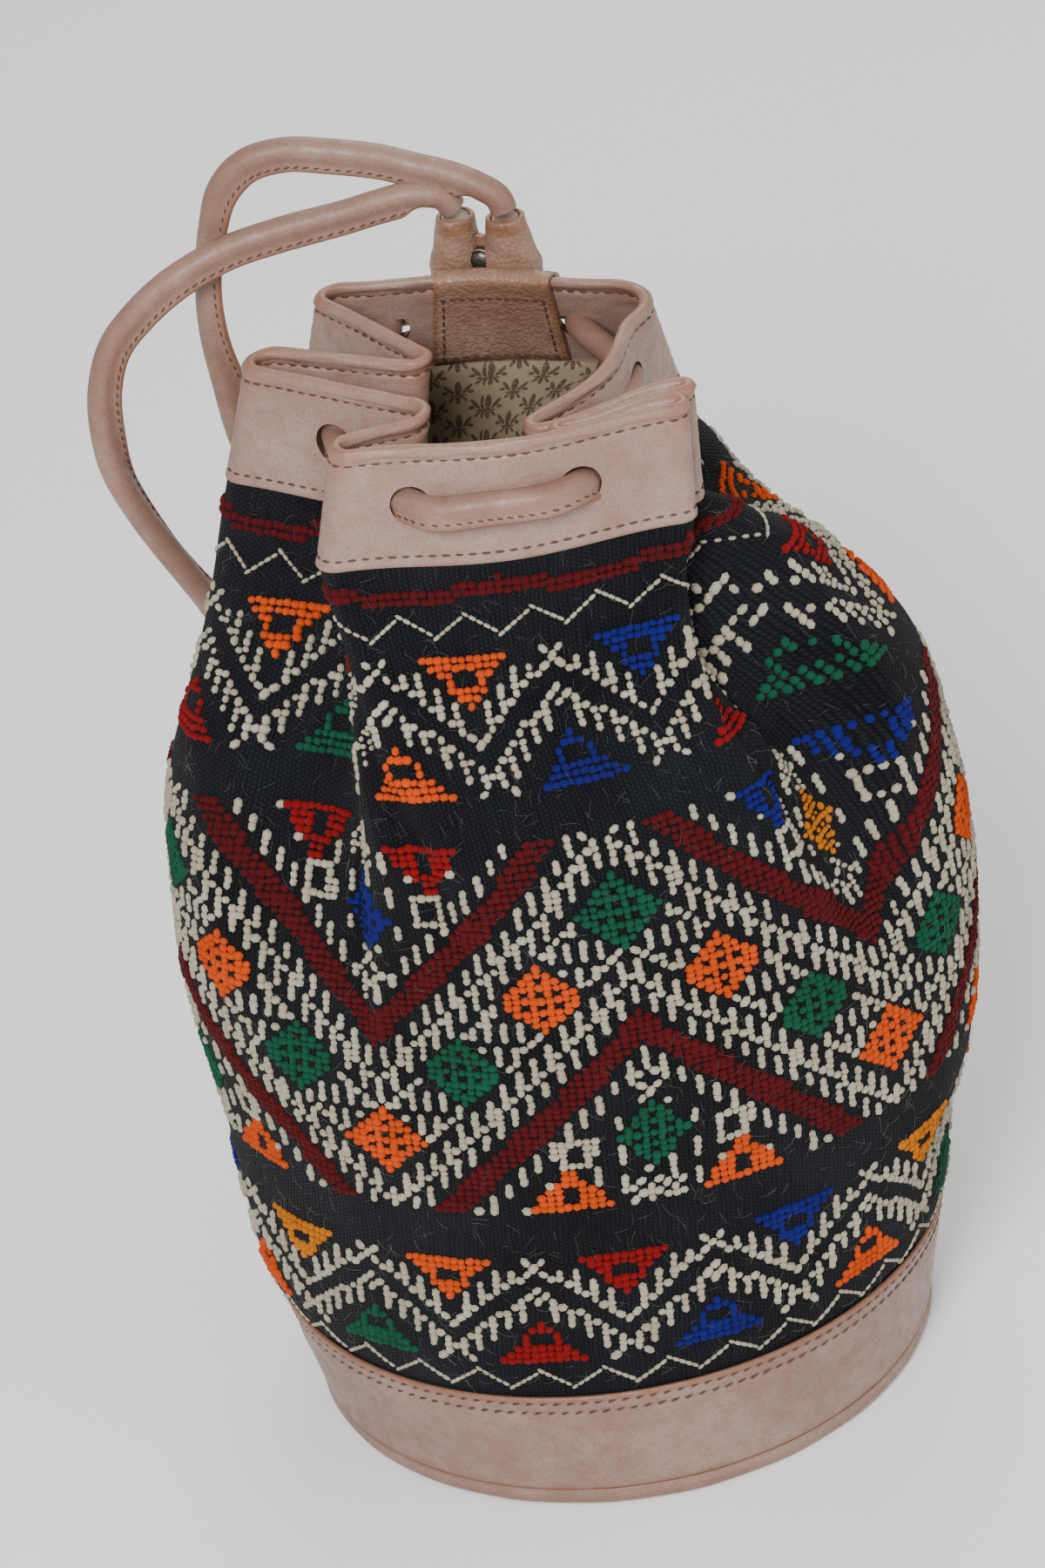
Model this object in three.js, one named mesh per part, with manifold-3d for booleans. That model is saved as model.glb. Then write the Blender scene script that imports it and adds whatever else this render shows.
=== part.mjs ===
// Kilim backpack: a pleated wool tube on a leather foot, closed by a cord through a leather collar.
// Millimetres, +Z up. The origin is the middle of the sole's underside and the front faces -Y.
// Plan shapes run counter-clockwise seen from above, starting at the middle of the back.

import * as THREE from 'three';
import { mergeVertices } from 'three/addons/utils/BufferGeometryUtils.js';
import Module from 'manifold-3d';

const wasm = await Module();
wasm.setup();

// Driving sizes
const gap = 0.3;

const soleWidth = 243;
const soleDepth = 225;
const soleThickness = 3;
const soleLip = 8.5;
const soleEdgeRound = 5;
const soleLipWall = 2.2;

const bandHeight = 50;
const bandWidth = 263;
const bandDepth = 239;
const bandWall = 2.2;
const bandLap = 12;

const kilimHeight = 322;
const kilimWall = 2.6;
const bodyWidth = 299;
const bodyDepth = 198;

const liningWall = 0.9;
const liningTuck = 0.8;
const liningEase = 6;

const collarHeight = 46.5;
const collarWall = 3.4;
const collarBeadRise = 2;
const mouthWidth = 154;
const mouthDepth = 138;
const mouthShiftX = -4;
const mouthShiftY = 17;
const foldRadius = 8;
const foldStep = 1.05;
const seamFlareX = 1.08;
const seamFlareY = 1.04;
const seamShiftX = -8;
const seamShiftY = 4;

const cordDiameter = 10;
const cordSides = 8;
const strapSteps = 38;
const holeDiameter = 15.5;
const holeSides = 12;

const keeperWidth = 46;
const keeperWall = 2.2;
const keeperFlap = 42;
const keeperBackFlap = 18;
const keeperFromMiddle = 6;
const tunnelWall = 1.9;
const tunnelRise = 17.5;
const tunnelDrop = 14;
const tunnelSpacing = 19.5;
const tunnelSpread = 2.5;
const tunnelShift = 7;
const webRise = 0.86;
const tunnelSides = 12;

const rivetDiameter = 10;
const rivetHeight = 3;

const tabWidth = 30;
const tabHeight = 34;
const tabWall = 2.4;
const tabFromMiddle = 78;

// Heights that follow from the sizes
const bandFoot = soleLip + gap;
const bandTop = bandFoot + bandHeight;
const kilimFoot = bandTop - bandLap;
const seamZ = bandTop + kilimHeight;
const collarFoot = seamZ + gap;
const rimZ = collarFoot + collarHeight;
const cordRadius = cordDiameter / 2;
const holeZ = (collarFoot + rimZ) / 2;
const tunnelRadius = cordRadius + gap + tunnelWall;

// Sections of the kilim tube from the band's upper edge (rise 0) to the collar seam (rise 1).
// width and depth are shares of bodyWidth and bodyDepth, and so are the shifts of the middle.
const sections = [
  { rise: 0.00, width: 0.870, depth: 1.176, shiftX: 0.003, shiftY: 0.000 },
  { rise: 0.03, width: 0.905, depth: 1.180, shiftX: 0.003, shiftY: 0.000 },
  { rise: 0.12, width: 0.938, depth: 1.130, shiftX: 0.009, shiftY: -0.008 },
  { rise: 0.28, width: 0.978, depth: 1.045, shiftX: 0.018, shiftY: -0.018 },
  { rise: 0.44, width: 1.000, depth: 1.000, shiftX: 0.024, shiftY: -0.020 },
  { rise: 0.60, width: 0.978, depth: 1.000, shiftX: 0.022, shiftY: -0.012 },
  { rise: 0.73, width: 0.932, depth: 0.990, shiftX: 0.014, shiftY: 0.008 },
  { rise: 0.83, width: 0.828, depth: 0.930, shiftX: -0.013, shiftY: 0.030 },
  { rise: 0.91, width: 0.778, depth: 0.860, shiftX: -0.021, shiftY: 0.050 },
  { rise: 1.00, width: 0.745, depth: 0.800, shiftX: -0.025, shiftY: 0.080 },
];

// Levels of the kilim's rings, as shares of kilimHeight.
const levels = [0.03, 0.12, 0.26, 0.42, 0.58, 0.71, 0.82, 0.90, 0.955];

// Folds of the gathered mouth. side 1 is an outer fold and -1 a valley. x and y place the fold's
// round, as shares of half the mouth's width and depth, and round is a share of foldRadius. bow is
// how far the panel after the fold swells, as a share of half the mouth's depth. reach is how far
// the fold runs down the body, as a share of kilimHeight, and dip how far the rim sinks there, as
// a share of collarHeight. leanX and leanY are how far the collar's foot stands out from its rim
// there, as shares of collarHeight. panel is the number of steps along the panel after the fold.
const folds = [
  { name: 'back left', side: 1, x: -0.519, y: 0.913, round: 0.88, bow: 0.00, reach: 0.42, dip: 0.00, leanX: 0.00, leanY: 0.20, panel: 2 },
  { name: 'left rear valley', side: -1, x: -0.221, y: 0.130, round: 0.62, bow: 0.00, reach: 0.42, dip: 0.04, leanX: 0.00, leanY: 0.00, panel: 2 },
  { name: 'left', side: 1, x: -0.883, y: 0.290, round: 0.94, bow: 0.00, reach: 0.36, dip: 0.00, leanX: 0.00, leanY: 0.00, panel: 2 },
  { name: 'left front valley', side: -1, x: -0.312, y: -0.464, round: 1.06, bow: 0.00, reach: 0.62, dip: 0.04, leanX: 0.00, leanY: 0.00, panel: 1 },
  { name: 'front left', side: 1, x: -0.552, y: -0.768, round: 0.75, bow: 0.12, reach: 0.40, dip: 0.00, leanX: 0.00, leanY: 0.00, panel: 5 },
  { name: 'front right', side: 1, x: 0.909, y: -0.870, round: 0.43, bow: 0.00, reach: 0.44, dip: 0.00, leanX: 0.00, leanY: 0.00, panel: 1 },
  { name: 'hidden valley', side: -1, x: 0.403, y: -0.783, round: 0.38, bow: 0.00, reach: 0.56, dip: 0.12, leanX: 0.00, leanY: 0.00, panel: 1 },
  { name: 'right', side: 1, x: 0.955, y: -0.700, round: 0.43, bow: 0.00, reach: 0.15, dip: 0.00, leanX: 0.00, leanY: 0.00, panel: 2 },
  { name: 'right valley', side: -1, x: 0.312, y: -0.590, round: 0.50, bow: 0.12, reach: 0.18, dip: 0.20, leanX: 0.00, leanY: 0.00, panel: 3 },
  { name: 'back right', side: 1, x: 0.665, y: 0.310, round: 2.20, bow: 0.09, reach: 0.10, dip: 0.00, leanX: 0.22, leanY: 0.32, panel: 6 },
];

// Soft dents of the body. turn is where round the body, rise where up it, both as shares, with
// their spreads, and depth is a share of bodyDepth, with a swelling below 0.
const dents = [
  { name: 'right notch over the band', turn: 0.715, rise: 0.10, depth: 0.030, turnSpread: 0.045, riseSpread: 0.07 },
  { name: 'left dent over the band', turn: 0.315, rise: 0.28, depth: 0.018, turnSpread: 0.060, riseSpread: 0.09 },
  { name: 'front left crease foot', turn: 0.415, rise: 0.55, depth: 0.030, turnSpread: 0.030, riseSpread: 0.16 },
  { name: 'front right crease foot', turn: 0.650, rise: 0.56, depth: 0.040, turnSpread: 0.030, riseSpread: 0.14 },
  { name: 'front belly', turn: 0.510, rise: 0.38, depth: -0.030, turnSpread: 0.090, riseSpread: 0.20 },
  { name: 'back slump', turn: 0.980, rise: 0.52, depth: 0.035, turnSpread: 0.090, riseSpread: 0.22 },
];

// Cord holes: the panel after the fold named, and the share of the way along it. outside says that
// the cord runs outside the collar from this hole to the next, past a valley.
const cordHoles = [
  { after: 'back right', share: 0.82, outside: false },
  { after: 'back left', share: 0.50, outside: true },
  { after: 'left rear valley', share: 0.50, outside: false },
  { after: 'left', share: 0.55, outside: true },
  { after: 'left front valley', share: 0.50, outside: false },
  { after: 'front left', share: 0.20, outside: true },
  { after: 'front left', share: 0.70, outside: false },
  { after: 'front right', share: 0.70, outside: true },
  { after: 'hidden valley', share: 0.30, outside: false },
  { after: 'right', share: 0.72, outside: true },
  { after: 'right valley', share: 0.75, outside: false },
  { after: 'back right', share: 0.16, outside: true },
];

// The straps' routes, from the tunnel's mouth to the tab low on the back. Chosen by hand.
const strapLeftRoute = [
  [1.9, 91.3, 448.6], [-2, 91, 454], [-12, 91, 456.5], [-25, 91, 455.5], [-38, 92, 453], [-64, 94, 449],
  [-84, 94, 445], [-104, 93, 437], [-119, 92, 427], [-131, 91, 415], [-138, 90, 398], [-140, 89, 381],
  [-139, 88, 365], [-133, 87, 347], [-126, 87, 331], [-119, 86, 317], [-110, 87, 296], [-101, 89, 268],
  [-93, 90, 236], [-87, 91, 200], [-83, 93, 162], [-81, 96, 124], [-81, 99, 90], [-81, 100, 66], [-81.5, 100, 50.3],
];
const strapRightRoute = [
  [20, 83.8, 448], [18.5, 84.5, 453], [12.5, 87, 457.5], [2, 92, 462], [-10, 95, 466], [-22, 98, 470],
  [-40, 101, 474], [-56, 104, 476], [-71, 106, 473], [-81, 107, 464], [-87, 108, 449], [-92, 108, 428],
  [-94, 108, 406], [-93, 108, 384], [-91, 108, 362], [-84, 108, 332], [-71, 108, 300], [-52, 107, 268],
  [-28, 106, 238], [0, 106, 208], [26, 105, 180], [48, 104, 154], [66, 103, 126], [77, 102, 98],
  [81, 101, 72], [81.5, 100, 50.3],
];

const leather = new THREE.MeshStandardMaterial({ color: 0xbea094, roughness: 0.62, metalness: 0 });
const wornLeather = new THREE.MeshStandardMaterial({ color: 0xc69a80, roughness: 0.55, metalness: 0 });
const keeperLeather = new THREE.MeshStandardMaterial({ color: 0xc08c6e, roughness: 0.5, metalness: 0 });
const kilimWool = new THREE.MeshStandardMaterial({ color: 0x24262c, roughness: 0.95, metalness: 0 });
const liningCotton = new THREE.MeshStandardMaterial({ color: 0xaa9b7d, roughness: 0.9, metalness: 0 });
const darkMetal = new THREE.MeshStandardMaterial({ color: 0x3a322c, roughness: 0.45, metalness: 0.8 });

const tau = 2 * Math.PI;
const { clamp, lerp } = THREE.MathUtils;
const wrap = (share) => share - Math.floor(share);
const bell = (distance, spread) => Math.exp(-((distance / spread) ** 2));

// Where a straight run leaves or meets the round of a fold, for a run in the direction given.
const touch = (fold, heading) => new THREE.Vector2(
  fold.centre.x + Math.sin(heading) * fold.turnRadius,
  fold.centre.y - Math.cos(heading) * fold.turnRadius,
);

// The turn from one heading to the next, to the left round an outer fold, to the right in a valley.
function foldTurn(heading, next, side) {
  const turn = wrap((next - heading) / tau);
  return (side > 0 ? turn : turn - 1) * tau;
}

// The mouth's plan at the rim: straight or swelling panels between rounds, like a belt over pulleys.
// Each station has its place, its share of the way round, and how it sinks and fades there.
function mouthStations() {
  const rounds = folds.map((fold) => ({
    ...fold,
    centre: new THREE.Vector2(
      mouthShiftX + fold.x * mouthWidth / 2,
      mouthShiftY + fold.y * mouthDepth / 2,
    ),
    turnRadius: fold.side * fold.round * foldRadius,
  }));
  const after = (index) => rounds[(index + 1) % rounds.length];
  const headings = rounds.map((round, index) => {
    const run = after(index).centre.clone().sub(round.centre);
    return run.angle() - Math.asin((after(index).turnRadius - round.turnRadius) / run.length());
  });
  const stations = [];
  rounds.forEach((round, index) => {
    const heading = headings[(index + rounds.length - 1) % rounds.length];
    const turn = foldTurn(heading, headings[index], round.side);
    const steps = Math.max(2, Math.round(Math.abs(turn) / foldStep));
    for (let step = 0; step <= steps; step += 1) {
      const place = touch(round, heading + turn * step / steps);
      stations.push({ place, fold: index });
    }
    const from = touch(round, headings[index]);
    const to = touch(after(index), headings[index]);
    const outward = new THREE.Vector2(Math.sin(headings[index]), -Math.cos(headings[index]));
    for (let step = 1; step < round.panel; step += 1) {
      const share = step / round.panel;
      const swell = round.bow * mouthDepth / 2 * Math.sin(Math.PI * share) ** 2;
      const place = from.clone().lerp(to, share).addScaledVector(outward, swell);
      stations.push({ place, fold: index + share });
    }
  });
  return measureStations(stations);
}

// Adds each station's share of the way round from the middle of the back, and blends dip and reach.
function measureStations(stations) {
  const count = stations.length;
  let length = 0;
  for (let index = 0; index < count; index += 1) {
    stations[index].run = length;
    length += stations[index].place.distanceTo(stations[(index + 1) % count].place);
  }
  const panelStart = stations.findLast((station) => station.fold === folds.length - 1).run;
  const middleBack = (panelStart + length) / 2;
  for (const station of stations) {
    const before = Math.floor(station.fold);
    const share = (1 - Math.cos(Math.PI * (station.fold - before))) / 2;
    const [one, two] = [folds[before], folds[(before + 1) % folds.length]];
    station.turn = wrap((station.run - middleBack) / length);
    station.dip = lerp(one.dip, two.dip, share) * collarHeight;
    station.reach = lerp(one.reach, two.reach, share);
    station.leanX = lerp(one.leanX, two.leanX, share) * collarHeight;
    station.leanY = lerp(one.leanY, two.leanY, share) * collarHeight;
  }
  return stations.sort((one, two) => one.turn - two.turn);
}

// The section table at any rise, on a smooth line through its rows.
function sectionAt(rise) {
  const last = sections.length - 1;
  const place = clamp(rise, 0, 1);
  const row = clamp(sections.findIndex((section) => section.rise > place) - 1, 0, last - 1);
  const index = place >= 1 ? last - 1 : row;
  const [one, two] = [sections[index], sections[index + 1]];
  const before = sections[Math.max(index - 1, 0)];
  const after = sections[Math.min(index + 2, last)];
  const span = two.rise - one.rise;
  const share = (place - one.rise) / span;
  const smooth = (column) => {
    const slopeOne = (two[column] - before[column]) / (two.rise - before.rise) * span;
    const slopeTwo = (after[column] - one[column]) / (after.rise - one.rise) * span;
    const [square, cube] = [share ** 2, share ** 3];
    return (2 * cube - 3 * square + 1) * one[column] + (cube - 2 * square + share) * slopeOne
      + (3 * square - 2 * cube) * two[column] + (cube - square) * slopeTwo;
  };
  return {
    halfWidth: smooth('width') * bodyWidth / 2,
    halfDepth: smooth('depth') * bodyDepth / 2,
    shiftX: smooth('shiftX') * bodyWidth,
    shiftY: smooth('shiftY') * bodyDepth,
  };
}

// The angle on an oval that lies a share of the way round it, measured along its edge from the back.
function ovalAngle(halfWidth, halfDepth, turn) {
  const steps = 180;
  const runs = [0];
  const edge = (step) => new THREE.Vector2(
    -halfWidth * Math.sin(step * tau / steps),
    halfDepth * Math.cos(step * tau / steps),
  );
  for (let step = 1; step <= steps; step += 1) {
    runs.push(runs[step - 1] + edge(step).distanceTo(edge(step - 1)));
  }
  const wanted = turn * runs[steps];
  const step = clamp(runs.findIndex((run) => run > wanted) - 1, 0, steps - 1);
  return (step + (wanted - runs[step]) / (runs[step + 1] - runs[step])) * tau / steps;
}

// A point of the body's middle surface, halfway through the wool.
function bodyPoint(station, rise) {
  const oval = sectionAt(rise);
  const angle = ovalAngle(oval.halfWidth, oval.halfDepth, station.turn);
  const sunk = dents.reduce((sum, dent) => {
    const aside = Math.abs(wrap(station.turn - dent.turn + 0.5) - 0.5);
    return sum + dent.depth * bodyDepth * bell(aside, dent.turnSpread) * bell(rise - dent.rise, dent.riseSpread);
  }, 0);
  const round = new THREE.Vector2(
    oval.shiftX - (oval.halfWidth - kilimWall / 2 - sunk) * Math.sin(angle),
    oval.shiftY + (oval.halfDepth - kilimWall / 2 - sunk) * Math.cos(angle),
  );
  const pleated = seamPoint(station);
  const gather = clamp((rise - 1 + station.reach) / station.reach, 0, 1) ** 1.7;
  const place = round.lerp(pleated, gather);
  const z = bandTop + rise * kilimHeight - station.dip * gather;
  return new THREE.Vector3(place.x, place.y, z);
}

// The mouth's plan widens a little from the rim down to the collar seam.
function seamPoint(station) {
  return collarPoint(station, 0);
}

// A point of the collar's plan, from its foot (share 0) to its rim (share 1).
function collarPoint(station, share) {
  const flareX = lerp(seamFlareX, 1, share);
  const flareY = lerp(seamFlareY, 1, share);
  return new THREE.Vector2(
    mouthShiftX + (station.place.x - mouthShiftX) * flareX + (seamShiftX + station.leanX) * (1 - share),
    mouthShiftY + (station.place.y - mouthShiftY) * flareY + (seamShiftY + station.leanY) * (1 - share),
  );
}

// Moves a closed ring outwards by a distance, level with the floor.
function offsetRing(ring, distance) {
  return ring.map((point, index) => {
    const before = ring[(index + ring.length - 1) % ring.length];
    const after = ring[(index + 1) % ring.length];
    const one = new THREE.Vector2(point.y - before.y, before.x - point.x).normalize();
    const two = new THREE.Vector2(after.y - point.y, point.x - after.x).normalize();
    const mid = one.clone().add(two).normalize();
    const reach = distance / Math.max(mid.dot(one), 0.5);
    return new THREE.Vector3(point.x + mid.x * reach, point.y + mid.y * reach, point.z);
  });
}

// An oval ring at a height.
function ovalRing(width, depth, z, count = 40) {
  return Array.from({ length: count }, (_, index) => new THREE.Vector3(
    -width / 2 * Math.sin(index * tau / count),
    depth / 2 * Math.cos(index * tau / count),
    z,
  ));
}

// A closed skin over rings of equal count. The rings run up the outside and down the inside and
// meet again (closed), or end in flat caps. Faces slant the same way outside and inside, so that
// a twisted wall keeps its thickness. A folded ring is the outline of a bent strip of even wall,
// from its outer end (0) to its inner end (1), along the inside and back along the outside.
function ringSolid(rings, closed, folded = false) {
  const count = rings[0].length;
  const points = rings.flat();
  const faces = [];
  const rows = closed ? rings.length : rings.length - 1;
  for (let row = 0; row < rows; row += 1) {
    const next = (row + 1) % rings.length;
    for (let index = 0; index < count; index += 1) {
      const beside = (index + 1) % count;
      const [a, b] = [row * count + index, row * count + beside];
      const [c, d] = [next * count + beside, next * count + index];
      faces.push(...(row < rings.length / 2 - 1 ? [a, b, c, a, c, d] : [a, b, d, b, c, d]));
    }
  }
  const lastRing = (rings.length - 1) * count;
  if (folded) {
    capStrip(faces, 0, count, true);
    capStrip(faces, lastRing, count, false);
  } else if (!closed) {
    capRing(points, faces, 0, count, true);
    capRing(points, faces, lastRing, count, false);
  }
  return indexedGeometry(points, faces);
}

// Closes an end ring with a fan from its middle.
function capRing(points, faces, first, count, start) {
  const middle = new THREE.Vector3();
  for (let index = 0; index < count; index += 1) {
    middle.addScaledVector(points[first + index], 1 / count);
  }
  const centre = points.push(middle) - 1;
  for (let index = 0; index < count; index += 1) {
    const [a, b] = [first + index, first + (index + 1) % count];
    faces.push(...(start ? [centre, b, a] : [centre, a, b]));
  }
}

// Closes the end of a bent strip with one quad a bend.
function capStrip(faces, first, count, start) {
  for (let step = 0; step < count / 2 - 1; step += 1) {
    const [a, b] = [first + (count - step) % count, first + 1 + step];
    const [c, d] = [b + 1, first + count - step - 1];
    faces.push(...(start ? [a, c, b, a, d, c] : [a, b, c, a, c, d]));
  }
}

function indexedGeometry(points, faces) {
  const geometry = new THREE.BufferGeometry();
  const values = points.flatMap((point) => [point.x, point.y, point.z]);
  geometry.setAttribute('position', new THREE.Float32BufferAttribute(values, 3));
  geometry.setIndex(faces);
  return geometry;
}

// Three's closed geometry as a solid for joining and cutting.
function toSolid(geometry) {
  const bare = geometry.clone();
  bare.deleteAttribute('normal');
  bare.deleteAttribute('uv');
  const merged = mergeVertices(bare, 1e-4);
  return new wasm.Manifold(new wasm.Mesh({
    numProp: 3,
    vertProperties: new Float32Array(merged.getAttribute('position').array),
    triVerts: new Uint32Array(merged.getIndex().array),
  }));
}

function fromSolid(solid) {
  const mesh = solid.getMesh();
  const geometry = new THREE.BufferGeometry();
  geometry.setAttribute('position', new THREE.BufferAttribute(mesh.vertProperties, 3));
  geometry.setIndex(new THREE.BufferAttribute(mesh.triVerts, 1));
  return geometry;
}

// A round tube along a smooth line through points.
function tube(points, radius, sides, steps) {
  const outline = new THREE.Shape();
  for (let side = 0; side < sides; side += 1) {
    const angle = side * tau / sides;
    const [x, y] = [radius * Math.cos(angle), radius * Math.sin(angle)];
    if (side === 0) outline.moveTo(x, y);
    else outline.lineTo(x, y);
  }
  outline.closePath();
  const extrudePath = new THREE.CatmullRomCurve3(points, false, 'centripetal');
  return new THREE.ExtrudeGeometry(outline, { steps, extrudePath, bevelEnabled: false });
}

const stations = mouthStations();

// The stations before and after a share of the collar's length, and how far it is between them.
function stationsBeside(along) {
  const turn = wrap(along);
  const found = stations.findIndex((station) => station.turn > turn);
  const after = found < 0 ? 0 : found;
  const before = (after + stations.length - 1) % stations.length;
  const span = wrap(stations[after].turn - stations[before].turn);
  return { before, after, part: wrap(turn - stations[before].turn) / span };
}

// The collar's middle line at a share of its length from the back, with the outward direction.
function collarAt(along, share) {
  const { before, after, part } = stationsBeside(along);
  const [one, two] = [collarPoint(stations[before], share), collarPoint(stations[after], share)];
  const outward = new THREE.Vector2(two.y - one.y, one.x - two.x).normalize();
  return {
    place: one.lerp(two, part),
    outward: new THREE.Vector3(outward.x, outward.y, 0),
    dip: lerp(stations[before].dip, stations[after].dip, part),
  };
}

function baseSole() {
  const inset = (distance, z) => ovalRing(soleWidth - 2 * distance, soleDepth - 2 * distance, z);
  const rings = [
    inset(soleEdgeRound, 0),
    inset(soleEdgeRound * 0.3, soleEdgeRound * 0.25),
    inset(0, soleEdgeRound * 0.75),
    inset(0, soleLip),
    inset(soleLipWall, soleLip),
    inset(soleLipWall, soleThickness),
  ];
  return ringSolid(rings, false);
}

function baseBand() {
  const level = (share) => {
    const width = lerp(soleWidth, bandWidth, share);
    const depth = lerp(soleDepth, bandDepth, share);
    return ovalRing(width, depth, bandFoot + share * bandHeight, 48);
  };
  const outer = [0, 0.35, 0.96].map(level);
  const inner = [1, 0].map((share) => offsetRing(level(share), -bandWall));
  return ringSolid([...outer, offsetRing(level(1), -bandWall / 3), ...inner], true);
}

// The kilim tube's rings at a distance outside the middle of its wall. Its foot is tucked in the band.
function kilimRings(outward) {
  const tucked = (z, pull) => stations.map((station) => {
    const share = (z - bandFoot) / bandHeight;
    const inset = 2 * (bandWall + gap + kilimWall / 2 + pull);
    const width = lerp(soleWidth, bandWidth, share) - inset;
    const depth = lerp(soleDepth, bandDepth, share) - inset;
    const angle = ovalAngle(width / 2, depth / 2, station.turn);
    return new THREE.Vector3(-width / 2 * Math.sin(angle), depth / 2 * Math.cos(angle), z);
  });
  const rings = [tucked(kilimFoot, gap), tucked(bandTop, 0)];
  for (const rise of levels) {
    rings.push(stations.map((station) => bodyPoint(station, rise)));
  }
  rings.push(stations.map((station) => bodyPoint(station, 1)));
  return rings.map((ring) => offsetRing(ring, outward));
}

function kilimBody() {
  return ringSolid([...kilimRings(kilimWall / 2), ...kilimRings(-kilimWall / 2).reverse()], true);
}

// A thin bag that stands on the sole and hangs inside the kilim, its edge tucked under the seam. Each
// row takes one of the kilim's rings, and ease is the share of liningEase that it stands off it.
const liningRings = [
  { ring: 0, ease: 0 }, { ring: 1, ease: 0 }, { ring: 3, ease: 1 }, { ring: 5, ease: 1 }, { ring: 7, ease: 1 },
  { ring: 8, ease: 0.5 }, { ring: 9, ease: 0 }, { ring: 10, ease: 0.1 }, { ring: 11, ease: 0.3 },
];

function lining() {
  const outside = kilimWall / 2 + gap;
  const skin = (pull) => {
    const foot = (z, inset) => stations.map((station) => {
      const [width, depth] = [soleWidth - 2 * inset, soleDepth - 2 * inset];
      const angle = ovalAngle(width / 2, depth / 2, station.turn);
      return new THREE.Vector3(-width / 2 * Math.sin(angle), depth / 2 * Math.cos(angle), z);
    });
    const rise = soleThickness + gap + pull;
    const clear = soleLipWall + 3 * gap + pull;
    const rings = [foot(rise, clear + 3), foot(rise + 3, clear)];
    const body = liningRings.map(({ ring, ease }) => kilimRings(-outside - pull - ease * liningEase)[ring]);
    const edge = body.pop().map((point) => point.clone().setZ(point.z - liningTuck));
    return [...rings, ...body, edge];
  };
  return ringSolid([...skin(0), ...skin(liningWall).reverse()], false);
}

function collarBlank() {
  const ring = (share, distance, drop) => offsetRing(stations.map((station) => {
    const place = collarPoint(station, share);
    const z = lerp(collarFoot, rimZ, share) - station.dip - drop;
    return new THREE.Vector3(place.x, place.y, z);
  }), distance);
  const beadShare = 1 - collarBeadRise / collarHeight;
  return ringSolid([
    ring(0, collarWall / 2, 0),
    ring(beadShare, collarWall / 2, 0),
    ring(1, collarWall / 5, 0),
    ring(1, -collarWall / 5, 0),
    ring(beadShare, -collarWall / 2, 0),
    ring(0, -collarWall / 2, 0),
  ], true);
}

// The share of the collar's length that lies part of the way along the panel after a fold.
function panelAlong({ after, share }) {
  const index = folds.findIndex((fold) => fold.name === after);
  const turnsAt = (which) => stations.filter((station) => station.fold === which).map((station) => station.turn);
  const start = Math.max(...turnsAt(index));
  const end = Math.min(...turnsAt((index + 1) % folds.length));
  return wrap(start + wrap(end - start) * share);
}

// A punched hole's cutter, square to the collar's wall.
function holeCutter(hole) {
  const { place, outward, dip } = collarAt(panelAlong(hole), 0.5);
  const cutter = new THREE.CylinderGeometry(holeDiameter / 2, holeDiameter / 2, collarWall * 1.6, holeSides);
  cutter.applyQuaternion(new THREE.Quaternion().setFromUnitVectors(THREE.Object3D.DEFAULT_UP, outward));
  cutter.translate(place.x, place.y, holeZ - dip);
  return cutter;
}

// The keeper sits over the middle of the back panel.
const keeperAlong = keeperFromMiddle / collarLength() * -1;

function collarLength() {
  return stations.reduce((sum, station, index) => (
    sum + station.place.distanceTo(stations[(index + 1) % stations.length].place)
  ), 0);
}

// A tunnel's axis behind the rim, from its lower mouth to its top. side is -1 on the left.
function tunnelAxis(side) {
  const behind = collarWall / 2 + 2 * gap + keeperWall / 2 + tunnelRadius * 1.1;
  const point = (share, spacing, z) => {
    const { place, outward } = collarAt(keeperAlong, share);
    const across = new THREE.Vector3(-outward.y, outward.x, 0);
    return new THREE.Vector3(place.x, place.y, z)
      .addScaledVector(outward, behind)
      .addScaledVector(across, tunnelShift - side * spacing / 2);
  };
  return [
    point(1 - tunnelDrop / collarHeight, tunnelSpacing + tunnelSpread, rimZ - tunnelDrop),
    point(1, tunnelSpacing, rimZ + tunnelRise),
  ];
}

// The cord's route: out of the left tunnel's foot, through the twelve holes, and up into the right one.
function drawcordRoute() {
  const clear = collarWall / 2 + cordRadius + gap;
  const spots = cordHoles.map((hole) => {
    const { place, outward, dip } = collarAt(panelAlong(hole), 0.5);
    return { centre: new THREE.Vector3(place.x, place.y, holeZ - dip), outward };
  });
  const route = [];
  const tunnelRun = (side, spot) => {
    const [foot, top] = tunnelAxis(side);
    const upper = top.clone().lerp(foot, gap / (tunnelRise + tunnelDrop));
    const lower = foot.clone().setZ(foot.z - cordRadius);
    const behind = spot.centre.clone().addScaledVector(spot.outward, clear * 1.25);
    return [upper, upper.clone().lerp(foot, 0.5), foot, lower.lerp(behind, 0.35), behind];
  };
  route.push(...tunnelRun(-1, spots[0]));
  cordHoles.forEach((hole, index) => {
    route.push(spots[index].centre);
    if (index === cordHoles.length - 1) return;
    const [here, next] = [spots[index], spots[index + 1]];
    const straight = here.outward.dot(next.outward) > 0.9;
    const way = hole.outside ? clear : -clear;
    if (straight) {
      for (const share of [0.16, 0.5, 0.84]) {
        const point = here.centre.clone().lerp(next.centre, share);
        route.push(point.addScaledVector(here.outward, way * (share === 0.5 ? 1.12 : 1)));
      }
    }
  });
  route.push(...tunnelRun(1, spots[spots.length - 1]).reverse());
  return route;
}

const drawcordLine = drawcordRoute();
const drawcordSteps = 50;

function drawcord() {
  return tube(drawcordLine, cordRadius, cordSides, drawcordSteps);
}

// Room round the cord, cut out of what it passes through.
const cordRoom = () => toSolid(tube(drawcordLine, cordRadius + gap, cordSides, drawcordSteps));

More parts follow.
